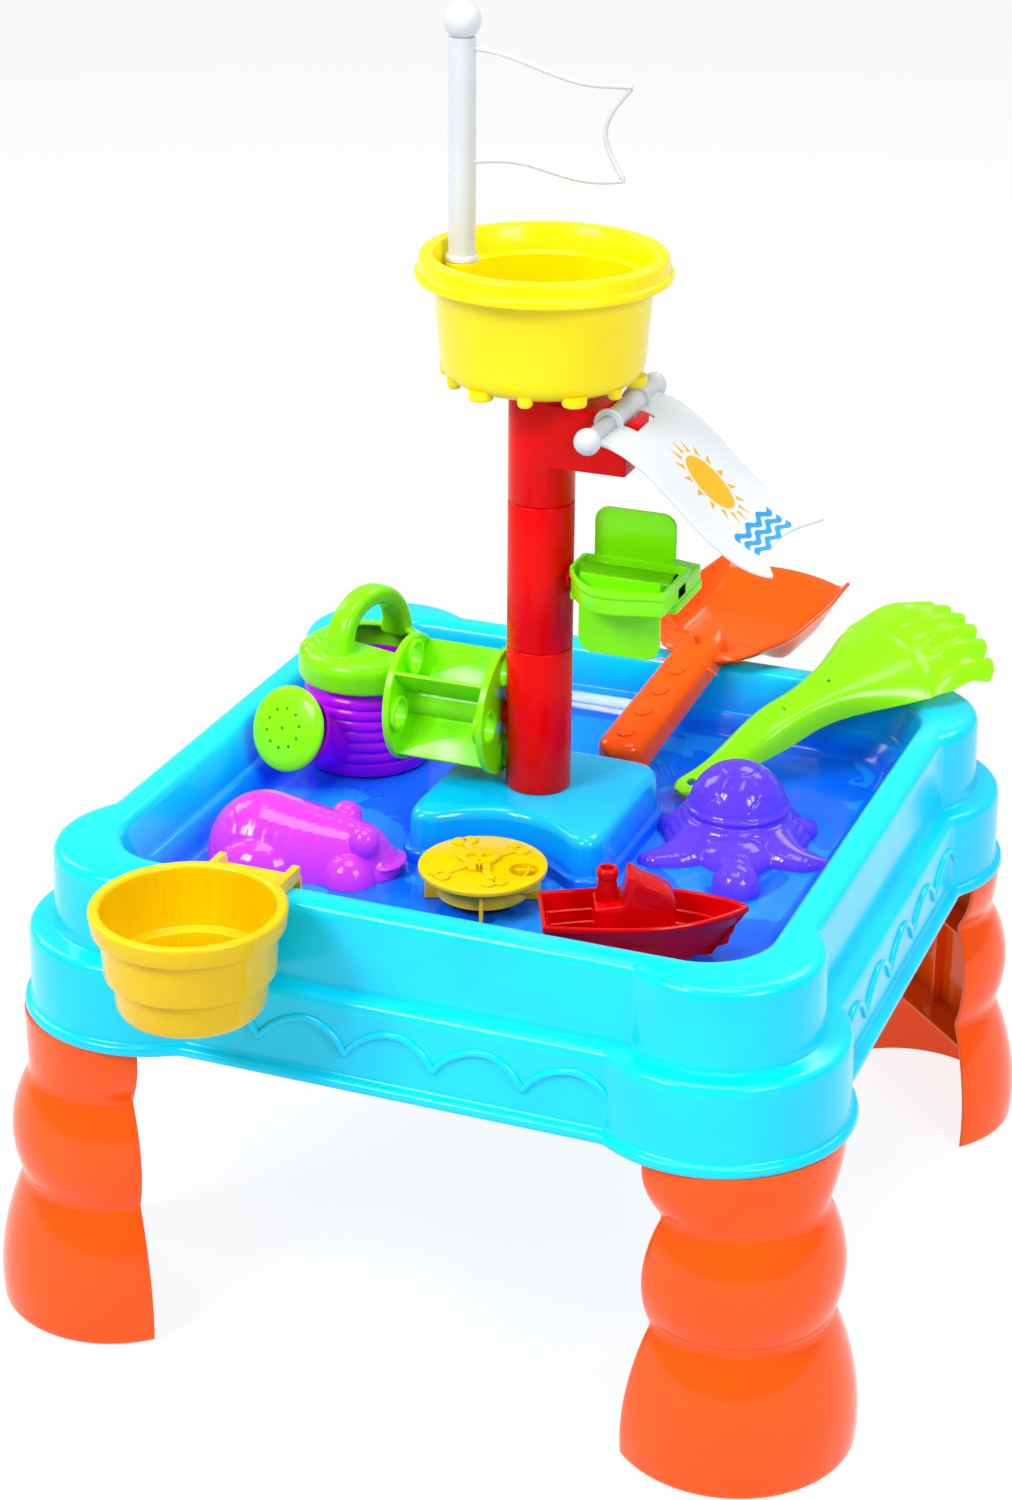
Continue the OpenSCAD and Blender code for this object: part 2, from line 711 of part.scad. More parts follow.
// Plain skull over crossed bones, raised from the disc
module stamp_relief(z) {
    for (turn = [-28, 28]) rotate([0, 0, turn + 12]) {
        box([-26, 26], [-2, 2], [z - 0.5, z + 1.2]);
        for (sx = [-1, 1], sy = [-1, 1]) column(sx * 26, sy * 2.2, [z - 0.5, z + 1.2], 3);
    }
    column(-2, 5, [z - 0.5, z + 1.8], 10);
    rotate([0, 0, 12]) box([-6, 4], [-9, 2], [z - 0.5, z + 1.8]);
}

// Half-width of the boat's hull along its length from 0 at the stern to 1 at the bow
function hull_w(t) = t < 0.45 ? 22 + 5 * sin(200 * t) : 27 * pow(max(0, cos(90 * (t - 0.45) / 0.55)), 0.75);

boat_l = 119;

// Plan outline of the hull, narrowed and shortened by an inset
function boat_outline(inset) = let (n = 14, l = boat_l - 2.2 * inset) concat(
    [for (k = [0:n]) [inset + (l * k / n), -max(0.4, hull_w(k / n) - inset)]],
    [for (k = [n:-1:0]) [inset + (l * k / n), max(0.4, hull_w(k / n) - inset)]]
);

module boat_hull() {
    color("crimson") translate([boat_pos[0], boat_pos[1], rest_z]) rotate([0, 0, boat_az])
        difference() {
            union() {
                translate([0, 0, 0]) linear_extrude(8) polygon(boat_outline(8));
                translate([0, 0, 7]) linear_extrude(9) polygon(boat_outline(4));
                translate([0, 0, 15]) linear_extrude(16) polygon(boat_outline(0));
            }
            translate([0, 0, 2]) linear_extrude(15) polygon(boat_outline(10.2));
            translate([0, 0, 9]) linear_extrude(8) polygon(boat_outline(6.2));
            translate([0, 0, 17]) linear_extrude(20) polygon(boat_outline(2.2));
            box([boat_l * 0.27, boat_l * 0.66], [-18, 18], [-1, 1]);
        }
}

module boat_cabin() {
    x = [boat_l * 0.3, boat_l * 0.58];
    color("crimson") translate([boat_pos[0], boat_pos[1], rest_z]) rotate([0, 0, boat_az]) {
        difference() {
            union() {
                box(x, [-14.2, 14.2], [2 + fit, 34]);
                box([x[0] + 18, x[1] - 2], [-12, 12], [34, 43]);
                translate([x[0] + 10, 2, 34]) cylinder(h = 21, r = 5.4);
            }
            box([x[0] + 2, x[1] - 2], [-12.6, 12.6], [1, 32]);
            translate([x[0] + 10, 2, 40]) cylinder(h = 20, r = 3.4);
            translate([x[1] - 2, 0, 43]) rotate([0, 35, 0]) cube([30, 60, 14], center = true);
        }
    }
}

// Plan outline of the shovel's blade along +X, with square shoulders and a bowed tip
function blade_outline(inset) = concat(
    [for (k = [0:4]) [inset + 3.5 * k, -(13 + 36 * sin(22.5 * k)) + inset]],
    [[94, inset - 52]],
    [for (k = [0:6]) [(108 + 21.5 * sin(30 * k)) - inset, (inset - 50) * cos(30 * k)]],
    [[94, 52 - inset]],
    [for (k = [4:-1:0]) [inset + 3.5 * k, (13 + 36 * sin(22.5 * k)) - inset]]
);

module shovel() {
    wall = 2.6;
    color("orangered") translate(shovel_pos) rotate([0, 0, shovel_turn[2]]) rotate([0, shovel_turn[1], 0]) {
        difference() {
            union() {
                shovel_grip(0);
                for (k = [0:3]) translate([22 + 22.5 * k, 0, 14.6]) cylinder(h = 1.6, r = 6.2);
            }
            shovel_grip(wall);
            translate([118, 0, 0]) cylinder(h = 30, r = 2.2);
            translate([122, -60, -10]) cube([60, 120, 60]);
        }
        translate([119, 0, 3]) rotate([0, 9, 0]) difference() {
            linear_extrude(15) polygon(blade_outline(0));
            translate([0, 0, wall]) linear_extrude(20) polygon(blade_outline(wall));
            translate([132, 0, 15]) rotate([0, 24, 0]) cube([90, 130, 16], center = true);
        }
    }
}

// Hollow grip, open underneath
module shovel_grip(inset) {
    hull() {
        translate([16, 0, -5 - inset * 2]) cylinder(h = 20 + inset, r = 16 - inset, $fn = 32);
        translate([122, 0, -inset * 2]) cylinder(h = 15 + inset, r = 14 - inset, $fn = 32);
    }
}

// Plan outline of the rake's hand
function hand_outline(inset) = [
    [0, inset - 13], [22, inset - 21], [52, inset - 35], [84, inset - 44], [98 - inset, inset - 44],
    [98 - inset, 44 - inset], [84, 44 - inset], [52, 35 - inset], [22, 21 - inset], [0, 13 - inset]
];

module rake() {
    wall = 2.4;
    color("chartreuse") translate(rake_pos) rotate([0, 0, rake_turn[2]]) rotate([0, rake_turn[1], 0])
        rotate([rake_turn[0], 0, 0]) {
            difference() {
                rake_grip(0);
                rake_grip(wall);
                translate([12, 0, -1]) cylinder(h = 40, r = 3.4);
            }
            for (k = [0:1]) translate([88 + 20 * k, 0, 12.6]) cylinder(h = 1.8, r = 5);
            // curved hand: the outline cut out of a bent sheet
            translate([118, 0, 0]) intersection() {
                translate([0, 0, -10]) linear_extrude(60) polygon(hand_outline(0));
                difference() {
                    hand_bend(0);
                    hand_bend(wall);
                }
            }
            for (k = [-4:3]) translate([212, 10 * k + 5, hand_z(10 * k + 5)]) rotate([0, 26, 0])
                box([-3, 16], [-3.2, 3.2], [-wall, -0.2]);
        }
}

hand_bend_r = 90;
// Height of the hand's top face across its width
function hand_z(y) = 13 - hand_bend_r + sqrt(pow(hand_bend_r, 2) - pow(y, 2));

// Long shallow vault along +X
module hand_bend(inset) {
    translate([-1, 0, 13 - hand_bend_r]) rotate([0, 90, 0])
        cylinder(h = 100, r = hand_bend_r - inset, $fn = 128);
}

module rake_grip(inset) {
    hull() {
        translate([12, 0, -4 - inset * 2]) cylinder(h = 17 + inset, r = 12 - inset, $fn = 32);
        translate([118, 0, -inset * 2]) cylinder(h = 13 + inset, r = 13 - inset, $fn = 32);
    }
}

tub();
leg_front_left();
leg_front_right();
leg_back_left();
leg_back_right();
mast_lower();
mast_middle();
mast_head();
wheel_axle();
rotor_axle();
paddle_wheel();
tipping_rotor();
sail_rod();
sail_sheet();
nest_bucket();
flag();
hook_cup();
can_body();
can_lid();
can_rose();
hippo_mould();
turtle_mould();
sand_stamp();
boat_hull();
boat_cabin();
shovel();
rake();
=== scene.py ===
# Sand and water table with legs, a mast with water toys, and loose sand toys.
# Lengths in this file are in millimetres in the CAD frame; meshes are scaled to metres as they are made.
import math
from contextlib import contextmanager

import bmesh
import bpy
from mathutils import Matrix, Vector


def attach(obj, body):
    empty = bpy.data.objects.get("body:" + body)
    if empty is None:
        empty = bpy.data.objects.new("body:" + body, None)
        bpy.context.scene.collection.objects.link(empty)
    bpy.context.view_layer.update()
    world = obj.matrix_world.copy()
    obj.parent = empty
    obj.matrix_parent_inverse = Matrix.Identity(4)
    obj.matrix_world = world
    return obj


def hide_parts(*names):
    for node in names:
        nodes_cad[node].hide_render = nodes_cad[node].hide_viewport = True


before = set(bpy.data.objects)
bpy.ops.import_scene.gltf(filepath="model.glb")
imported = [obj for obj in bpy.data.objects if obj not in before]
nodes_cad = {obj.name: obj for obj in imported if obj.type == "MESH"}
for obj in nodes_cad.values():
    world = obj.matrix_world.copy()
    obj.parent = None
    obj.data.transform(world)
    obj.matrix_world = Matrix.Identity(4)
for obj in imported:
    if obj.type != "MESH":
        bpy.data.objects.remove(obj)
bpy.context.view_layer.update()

MM = 0.001
QUARTER = math.pi / 2
scene = bpy.context.scene

# heights above the floor and places that several pieces share
SKIRT_Z = 195.0  # bottom edge of the tub's skirt
BASIN_Z = 256.0  # top face of the basin's floor
REST_Z = 256.3  # underside of the loose toys
WHEEL_Z = 333.5  # paddle wheel's axis
ROTOR_Z = 428.3  # tipping rotor's axis
ROD_X, ROD_Z = 48.8, 532.7  # sail's rod
NEST_Z, NEST_RIM_Z = 549.3, 623.0  # bucket's base and rim
POLE_X, SEAT_Z = -50.8, 612.6  # flag pole's axis and its seat in the bucket


# ---------------------------------------------------------------- mesh helpers


def add(name, data):
    """A new object in the scene around mesh, light or camera data."""
    obj = bpy.data.objects.new(name, data)
    scene.collection.objects.link(obj)
    return obj


@contextmanager
def editing(mesh):
    """Opens a mesh as a bmesh and writes it back."""
    bm = bmesh.new()
    bm.from_mesh(mesh)
    yield bm
    bm.to_mesh(mesh)
    bm.free()


def make(name, verts, faces):
    """A mesh object from points in millimetres."""
    mesh = bpy.data.meshes.new(name)
    mesh.from_pydata([(x * MM, y * MM, z * MM) for x, y, z in verts], [], faces)
    mesh.validate()
    return add(name, mesh)


def tidy_normals(obj):
    with editing(obj.data) as bm:
        bmesh.ops.recalc_face_normals(bm, faces=bm.faces)


def smooth(obj, angle):
    obj.data.shade_smooth()
    obj.data.set_sharp_from_angle(angle=math.radians(angle))


def apply_modifiers(obj):
    bpy.context.view_layer.update()
    graph = bpy.context.evaluated_depsgraph_get()
    mesh = bpy.data.meshes.new_from_object(obj.evaluated_get(graph))
    old = obj.data
    obj.modifiers.clear()
    obj.data = mesh
    bpy.data.meshes.remove(old)


def bevel(obj, width, segments=2, angle=35):
    mod = obj.modifiers.new("bevel", "BEVEL")
    mod.width = width * MM
    mod.segments = segments
    mod.limit_method = "ANGLE"
    mod.angle_limit = math.radians(angle)
    mod.use_clamp_overlap = False
    mod.miter_outer = "MITER_ARC"
    apply_modifiers(obj)


def remesh(obj, voxel, rounds=4):
    """Fuses overlapping parts into one skin and smooths it."""
    mod = obj.modifiers.new("remesh", "REMESH")
    mod.mode = "VOXEL"
    mod.voxel_size = voxel * MM
    apply_modifiers(obj)
    mod = obj.modifiers.new("relax", "SMOOTH")
    mod.iterations = rounds
    mod.factor = 0.5
    apply_modifiers(obj)


def solidify(obj, thickness, offset=-1):
    """Gives a sheet a wall, to the inside unless offset says otherwise."""
    mod = obj.modifiers.new("wall", "SOLIDIFY")
    mod.thickness = thickness * MM
    mod.offset = offset
    apply_modifiers(obj)


def boolean(obj, other, operation="DIFFERENCE"):
    mod = obj.modifiers.new("boolean", "BOOLEAN")
    mod.object = other
    mod.operation = operation
    mod.solver = "EXACT"
    apply_modifiers(obj)
    bpy.data.objects.remove(other)


def join(name, objs):
    bm = bmesh.new()
    for obj in objs:
        bm.from_mesh(obj.data)
    mesh = bpy.data.meshes.new(name)
    bm.to_mesh(mesh)
    bm.free()
    result = add(name, mesh)
    for obj in objs:
        bpy.data.objects.remove(obj)
    return result


def loft(name, rings, wrap=False):
    """A skin over closed rings of equally many points, capped unless it wraps round."""
    count, total = len(rings[0]), len(rings)
    verts = [p for ring in rings for p in ring]
    faces = []
    for i in range(total if wrap else total - 1):
        a, b = i * count, ((i + 1) % total) * count
        for j in range(count):
            k = (j + 1) % count
            faces.append((a + j, a + k, b + k, b + j))
    if not wrap:
        faces.append(tuple(range(count))[::-1])
        faces.append(tuple((total - 1) * count + j for j in range(count)))
    obj = make(name, verts, faces)
    tidy_normals(obj)
    return obj


def round_path(points, radius, steps=4, closed=False):
    """The same path with its corners rounded."""
    out = []
    n = len(points)
    for i, p in enumerate(points):
        if not closed and i in (0, n - 1):
            out.append(tuple(p))
            continue
        r = radius[i] if isinstance(radius, (list, tuple)) else radius
        a, b, c = Vector(points[i - 1]), Vector(p), Vector(points[(i + 1) % n])
        la, lc = (a - b).length, (c - b).length
        if r <= 0 or la < 1e-6 or lc < 1e-6:
            out.append(tuple(p))
            continue
        reach = min(r, la * 0.49, lc * 0.49)
        s, e = b + (a - b) * (reach / la), b + (c - b) * (reach / lc)
        for k in range(steps + 1):
            t = k / steps
            out.append(tuple(s * (1 - t) ** 2 + b * 2 * t * (1 - t) + e * t * t))
    return out


def lathe(name, profile, n=96):
    """Turns an (r, z) profile about Z; a point with r = 0 becomes a pole."""
    verts, rows = [], []
    for r, z in profile:
        if r < 1e-6:
            rows.append([len(verts)] * n)
            verts.append((0, 0, z))
        else:
            rows.append([len(verts) + k for k in range(n)])
            verts += [(x, y, z) for x, y in circle(0, 0, r, n)]
    faces = []
    for a, b in zip(rows, rows[1:]):
        for k in range(n):
            m = (k + 1) % n
            corners = tuple(dict.fromkeys((a[k], a[m], b[m], b[k])))
            if len(corners) > 2:
                faces.append(corners)
    if profile[0] == profile[-1] and profile[0][0] > 1e-6:
        last = rows[-1][0]
        faces = [tuple(v - last if v >= last else v for v in f) for f in faces]
        verts = verts[:last]
    obj = make(name, verts, faces)
    tidy_normals(obj)
    return obj


def move(obj, matrix):
    """Applies a matrix whose shift is in millimetres."""
    m = matrix.copy()
    m.translation = m.translation * MM
    obj.data.transform(m)
    return obj


def place(x=0, y=0, z=0, rx=0, ry=0, rz=0):
    turn = (
        Matrix.Rotation(math.radians(rz), 4, "Z")
        @ Matrix.Rotation(math.radians(ry), 4, "Y")
        @ Matrix.Rotation(math.radians(rx), 4, "X")
    )
    return Matrix.Translation((x, y, z)) @ turn


def inset(poly, d):
    """Moves each side of a counter-clockwise outline inwards by d."""
    out = []
    n = len(poly)
    for i in range(n):
        a, b, c = Vector(poly[i - 1][:2]), Vector(poly[i][:2]), Vector(poly[(i + 1) % n][:2])
        e1, e2 = (b - a).normalized(), (c - b).normalized()
        n1, n2 = Vector((-e1.y, e1.x)), Vector((-e2.y, e2.x))
        m = n1 + n2
        m = m / max(0.35, m.length_squared / 2) if m.length > 1e-6 else n1
        out.append((b.x + m.x * d, b.y + m.y * d))
    return out


def terraces(poly, levels):
    """Rings of one outline, inset by d at each height z."""
    return [[(x, y, z) for x, y in inset(poly, d)] for d, z in levels]


def slab(name, poly, z0, z1, edge=0.8, steps=3):
    """A plate with rounded edges from a counter-clockwise outline."""
    angles = [QUARTER * k / steps for k in range(steps + 1)]
    levels = [(edge * (1 - math.sin(a)), z0 + edge * (1 - math.cos(a))) for a in angles]
    levels += [(edge * (1 - math.cos(a)), z1 - edge * (1 - math.sin(a))) for a in angles]
    return loft(name, terraces(poly, levels))


def squared(value, power):
    """A sine or cosine bent towards the corners of a rounded square."""
    return math.copysign(abs(value) ** power, value)


def block(name, x, y, z, edge=0.8):
    """A box with rounded edges from its limits along each axis."""
    poly = round_path([(x[0], y[0]), (x[1], y[0]), (x[1], y[1]), (x[0], y[1])], edge, 3, True)
    return slab(name, poly, z[0], z[1], edge)


def circle(cx, cy, r, n=48):
    return [(cx + r * math.cos(math.tau * k / n), cy + r * math.sin(math.tau * k / n)) for k in range(n)]


def tube(name, path, radius, sides=12, closed=False):
    """A round rod along a path of (x, y, z)."""
    pts = [Vector(p) for p in path]
    rings = []
    up = None
    for i, p in enumerate(pts):
        a = pts[i - 1] if i > 0 or closed else p
        b = pts[(i + 1) % len(pts)] if i < len(pts) - 1 or closed else p
        t = (b - a).normalized()
        if up is None:
            up = Vector((0, 0, 1)) if abs(t.z) < 0.9 else Vector((1, 0, 0))
        side = t.cross(up).normalized()
        up = side.cross(t).normalized()
        rings.append([tuple(p + (side * c + up * s) * radius) for c, s in circle(0, 0, 1, sides)])
    return loft(name, rings, wrap=closed)


def ball(name, x, y, z, rx, ry, rz, seg=48, turn=0.0):
    bm = bmesh.new()
    bmesh.ops.create_uvsphere(bm, u_segments=seg, v_segments=seg // 2, radius=1)
    mesh = bpy.data.meshes.new(name)
    bm.to_mesh(mesh)
    bm.free()
    obj = add(name, mesh)
    mesh.transform(Matrix.Diagonal((rx * MM, ry * MM, rz * MM, 1)))
    return move(obj, place(x, y, z, 0, 0, turn))


def cad_copy(node, width):
    """A CAD node's mesh with its hard edges rounded."""
    mesh = nodes_cad[node].data.copy()
    obj = add(node + "_piece", mesh)
    mesh.materials.clear()
    with editing(mesh) as bm:
        bmesh.ops.remove_doubles(bm, verts=bm.verts, dist=2e-6)
        bmesh.ops.dissolve_limit(
            bm, angle_limit=math.radians(0.8), verts=bm.verts, edges=bm.edges, use_dissolve_boundaries=False
        )
        bmesh.ops.recalc_face_normals(bm, faces=bm.faces)
    if width:
        bevel(obj, width, 2, 32)
    return obj


# ---------------------------------------------------------------- materials


def linear(r, g, b):
    def one(c):
        c /= 255
        return c / 12.92 if c <= 0.04045 else ((c + 0.055) / 1.055) ** 2.4

    return (one(r), one(g), one(b), 1.0)


def shade(color, k):
    return tuple(min(1.0, c * k) for c in color[:3]) + (1.0,)


def plastic(name, rgb, rough=0.2, coat=0.25, glow=0.0, grain=0.012, spec=0.32, deep=None):
    """Moulded plastic: faint colour flow, uneven gloss, fine scuffs and orange peel; with deep given, also painted
    shade that darkens it lower down and painted sheen in ragged patches on the floor.
    """
    color = linear(*rgb)
    mat = bpy.data.materials.new(name)
    mat.use_nodes = True
    tree = mat.node_tree
    bsdf = tree.nodes["Principled BSDF"]
    link = tree.links.new

    def node(kind, **values):
        n = tree.nodes.new("ShaderNode" + kind)
        for key, value in values.items():
            n.inputs[key.replace("_", " ")].default_value = value
        return n

    def grains(**values):
        n = node("TexNoise", **values)
        link(coord.outputs["Object"], n.inputs["Vector"])
        return n.outputs["Fac"]

    def ramp(fac, low, high, color_low, color_high):
        n = node("ValToRGB")
        for stop, at, value in zip(n.color_ramp.elements, (low, high), (color_low, color_high)):
            stop.position, stop.color = at, value
        link(fac, n.inputs["Fac"])
        return n.outputs["Color"]

    def remap(value, **limits):
        n = node("MapRange", **limits)
        link(value, n.inputs["Value"])
        return n.outputs["Result"]

    def blend(fac, a, b):
        """Mixes two colours, each a socket or a constant."""
        n = node("Mix")
        n.data_type = "RGBA"
        link(fac, n.inputs["Factor"])
        for key, value in (("A", a), ("B", b)):
            if isinstance(value, tuple):
                n.inputs[key].default_value = value
            else:
                link(value, n.inputs[key])
        return n.outputs["Result"]

    coord = node("TexCoord")
    flow = grains(Scale=9.0, Detail=3.0, Roughness=0.55, Distortion=0.6)
    surface = ramp(flow, 0.34, 0.66, shade(color, 0.92), shade(color, 1.05))
    # painted shade: deep is a darker blue mixed in by height, so the inside darkens lower down towards the floor
    if deep is not None:
        split = node("SeparateXYZ")
        link(coord.outputs["Object"], split.inputs[0])
        height = split.outputs["Z"]
        surface = blend(remap(height, From_Min=0.262, From_Max=0.298), linear(*deep), surface)
        # painted sheen: ragged lighter patches on the floor, where a film of water lies, stand in for light reflected
        # off the water
        water_sheen_noise = grains(Scale=11.0, Detail=5.0, Roughness=0.5, Distortion=0.7)
        water_sheen_mask = node("Math")
        water_sheen_mask.operation = "MULTIPLY"
        link(ramp(water_sheen_noise, 0.515, 0.53, (0, 0, 0, 1), (1, 1, 1, 1)), water_sheen_mask.inputs[0])
        link(remap(height, From_Min=0.2572, From_Max=0.2566), water_sheen_mask.inputs[1])
        surface = blend(water_sheen_mask.outputs[0], surface, linear(26, 136, 252))
    link(surface, bsdf.inputs["Base Color"])

    scuff = grains(Scale=70.0, Detail=6.0, Roughness=0.7)
    gloss = remap(scuff, From_Min=0.3, From_Max=0.75, To_Min=rough * 0.8, To_Max=rough * 1.45)
    link(gloss, bsdf.inputs["Roughness"])

    peel = node("Bump", Strength=grain * 8, Distance=0.0004)
    link(grains(Scale=420.0, Detail=2.0, Roughness=0.5), peel.inputs["Height"])
    wave = node("Bump", Strength=0.10, Distance=0.0012)
    link(grains(Scale=26.0, Detail=1.0), wave.inputs["Height"])
    link(peel.outputs["Normal"], wave.inputs["Normal"])
    link(wave.outputs["Normal"], bsdf.inputs["Normal"])

    bsdf.inputs["IOR"].default_value = 1.46
    bsdf.inputs["Specular IOR Level"].default_value = spec
    bsdf.inputs["Coat Weight"].default_value = coat * 0.4
    bsdf.inputs["Coat Roughness"].default_value = 0.06
    if glow:
        bsdf.inputs["Subsurface Weight"].default_value = glow
        bsdf.inputs["Subsurface Radius"].default_value = tuple(c + 0.2 for c in color[:3])
        bsdf.inputs["Subsurface Scale"].default_value = 0.006
    return mat


CYAN = (0, 208, 250)
# sRGB colour, roughness, coat, glow
LOOKS = {
    "tub_blue": (CYAN, 0.17, 0.35),
    "basin_blue": (CYAN, 0.14, 0.4),
    "leg_orange": ((255, 84, 0), 0.11, 0.2),
    "mast_red": ((228, 0, 1), 0.26, 0.0),
    "lime": ((130, 242, 4), 0.2, 0.15, 0.05),
    "white": ((198, 204, 212), 0.28, 0.2),
    "sail_white": ((206, 211, 218), 0.5, 0.0),
    "yellow": ((238, 218, 0), 0.2, 0.1, 0.03),
    "golden": ((228, 190, 0), 0.2, 0.15, 0.05),
    "can_purple": ((204, 10, 255), 0.18, 0.15, 0.12),
    "magenta": ((196, 56, 236), 0.1, 0.4, 0.12),
    "violet": ((98, 60, 232), 0.1, 0.4, 0.12),
    "boat_red": ((198, 0, 2), 0.2, 0.05),
    "shovel_orange": ((255, 84, 0), 0.13, 0.2),
    "rake_lime": ((148, 246, 6), 0.18, 0.18, 0.05),
    "print_amber": ((250, 168, 16), 0.35, 0.05),
    "print_blue": ((14, 142, 226), 0.35, 0.05),
}
EXTRAS = {
    # the basin's deeper blue lower down is painted shade
    "basin_blue": {"deep": (6, 100, 244)},
    "mast_red": {"spec": 0.16},
    "sail_white": {"grain": 0.004, "spec": 0.16},
    "boat_red": {"spec": 0.2},
}
MATS = {name: plastic(name, *look, **EXTRAS.get(name, {})) for name, look in LOOKS.items()}


def wear(obj, slot, material=None):
    obj.data.materials.clear()
    obj.data.materials.append(MATS[material or slot])


def finish_piece(obj, body, slot, stands_for, angle):
    """Shades a piece, puts it on its body and lets it replace its CAD nodes."""
    obj.data.validate()
    smooth(obj, angle)
    wear(obj, slot)
    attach(obj, body)
    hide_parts(*stands_for)


# ---------------------------------------------------------------- tub

LOBE = 175.2  # centre of each corner's lobe
BASIN_HALF = 205
MARK_Z = 256.1
SHELL, RING, DOTS = (-122.5, 8.0), (-109.5, -15.5), (46.5, 115.0)
N_ARC, N_FILLET, N_SIDE = 22, 6, 14
N_CORNER = 2 * (N_FILLET + 1) + N_ARC - 1


def quarter_turns(points):
    """The points of one corner and side, repeated round the square."""
    out = []
    for c, s in ((1, 0), (0, 1), (-1, 0), (0, -1)):
        out += [(x * c - y * s, x * s + y * c) for x, y in points]
    return out


def lobed(half, r, rho=10.0):
    """Square with a round lobe on each corner, blended into the sides by concave fillets."""
    dy = half + rho - LOBE
    reach = math.sqrt((r + rho) ** 2 - dy * dy)
    edge = LOBE - reach
    t2 = math.atan2(dy, -reach)
    t1 = QUARTER - t2
    pts = []
    for k in range(N_FILLET + 1):
        a = math.pi + t1 * k / N_FILLET
        pts.append((half + rho + rho * math.cos(a), edge + rho * math.sin(a)))
    for k in range(1, N_ARC):
        a = t1 + (t2 - t1) * k / N_ARC
        pts.append((LOBE + r * math.cos(a), LOBE + r * math.sin(a)))
    for k in range(N_FILLET + 1):
        a = t2 + math.pi + (1.5 * math.pi - t2 - math.pi) * k / N_FILLET
        pts.append((edge + rho * math.cos(a), half + rho + rho * math.sin(a)))
    for k in range(1, N_SIDE):
        pts.append((edge - 2 * edge * k / N_SIDE, half))
    return quarter_turns(pts)


def rounded(half, r):
    """Square with round corners, with as many points as the lobed one."""
    s = half - r
    pts = []
    for k in range(N_CORNER):
        a = QUARTER * k / (N_CORNER - 1)
        pts.append((s + r * math.cos(a), s + r * math.sin(a)))
    for k in range(1, N_SIDE):
        pts.append((s - 2 * s * k / N_SIDE, half))
    return quarter_turns(pts)


def tub_rings():
    """The tub's wall from the basin's floor over the rim, down the skirt and back under the floor."""
    # half width, corner or lobe radius, height
    inner = [
        (150, 30, 256), (168, 34, 256), (174, 36, 256.2), (178.5, 37, 257.4), (181.5, 38, 260), (183, 38.5, 263.5),
        (187, 39.5, 269.5), (188.2, 40, 271.2), (190, 40.4, 271.9), (191.6, 40.8, 272.4), (192.6, 41, 274.2),
        (198.2, 42, 291), (199.2, 42.3, 294), (200.8, 42.8, 296.4), (203, 43.4, 297.6), (205.5, 44, 298),
    ]
    outer = [
        (213.5, 51.2, 298), (216, 53.6, 297.6), (218.4, 56, 296), (219.7, 57.3, 293.6), (220, 57.6, 290.5),
        (220.8, 58.4, 255), (221.2, 58.8, 251.5), (222.2, 59.8, 249.4), (224.2, 61.8, 248.6), (227.8, 69, 248.4),
        (230.4, 71.6, 247.8), (232.2, 73.4, 246), (232.9, 74.1, 243), (233.1, 74.3, 240),
        (233.6, 74.8, 205), (233.9, 75.1, 202.6), (234.8, 75.8, 201.3), (236.4, 76.8, 200.9), (238.2, 77.8, 200.6),
        (239.5, 78.7, 199.5), (240, 79.2, 197.8), (240, 79.2, 196.3), (239.4, 78.6, 195.2), (238, 77.2, 194.95),
    ]
    under = [
        (231.4, 72.6, 195), (230.8, 72, 195.6), (230.4, 71.6, 198), (230, 71.2, 242), (229, 70.2, 244.6),
        (226, 67, 245.4), (219.6, 58.6, 245.5), (218, 56.6, 246.6), (217.6, 55.4, 249), (217, 54.6, 289),
        (215.6, 53.2, 293), (212, 50, 295),
    ]
    back = [
        (205, 44, 295), (202.4, 43.4, 293), (201, 43, 290), (195.6, 42, 273), (194, 41.6, 269.6), (190, 40.6, 268.6),
        (186.2, 39.6, 262), (184.6, 39, 257), (181, 38, 254), (176, 37, 253), (150, 30, 253),
    ]
    rings = []
    for rows, outline in ((inner, rounded), (outer, lobed), (under, lambda h, r: lobed(h, r, 13)), (back, rounded)):
        rings += [[(x, y, z) for x, y in outline(h, r)] for h, r, z in rows]
    return rings


def build_tub():
    tub = loft("tub_shell", tub_rings())
    # raised scalloped wave on each lower skirt
    scallops = []
    crest, trough, pitch, y = 233.2, 215.2, 53.6, -233.5
    start, count, steps, lean = -134, 5, 12, 0.56
    for side in range(4):
        path = []
        for k in range(count):
            for t in (i / steps for i in range(steps)):
                u = t / lean * 0.5 if t < lean else 0.5 + (t - lean) / (1 - lean) * 0.5
                h = math.sin(math.pi * u) ** 0.72
                path.append((start + pitch * k + pitch * t, y, trough + (crest - trough) * h))
        path.append((start + count * pitch, y, trough))
        path = round_path(path, 1.2, 2)
        scallops.append(move(tube("wave", path, 2.3, 10), place(rz=90 * side)))
    tub = join("tub_piece", [tub, build_island()] + scallops + floor_marks())
    smooth(tub, 42)
    tub.data.materials.clear()
    tub.data.materials.append(MATS["tub_blue"])
    tub.data.materials.append(MATS["basin_blue"])
    # inside faces take basin_blue, with its painted shade lower down and painted sheen on the floor
    for face in tub.data.polygons:
        c = face.center / MM
        inside = max(abs(c.x), abs(c.y)) < BASIN_HALF and c.z > BASIN_Z - 0.5
        face.material_index = 1 if inside else 0
    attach(tub, "table")
    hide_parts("tub")


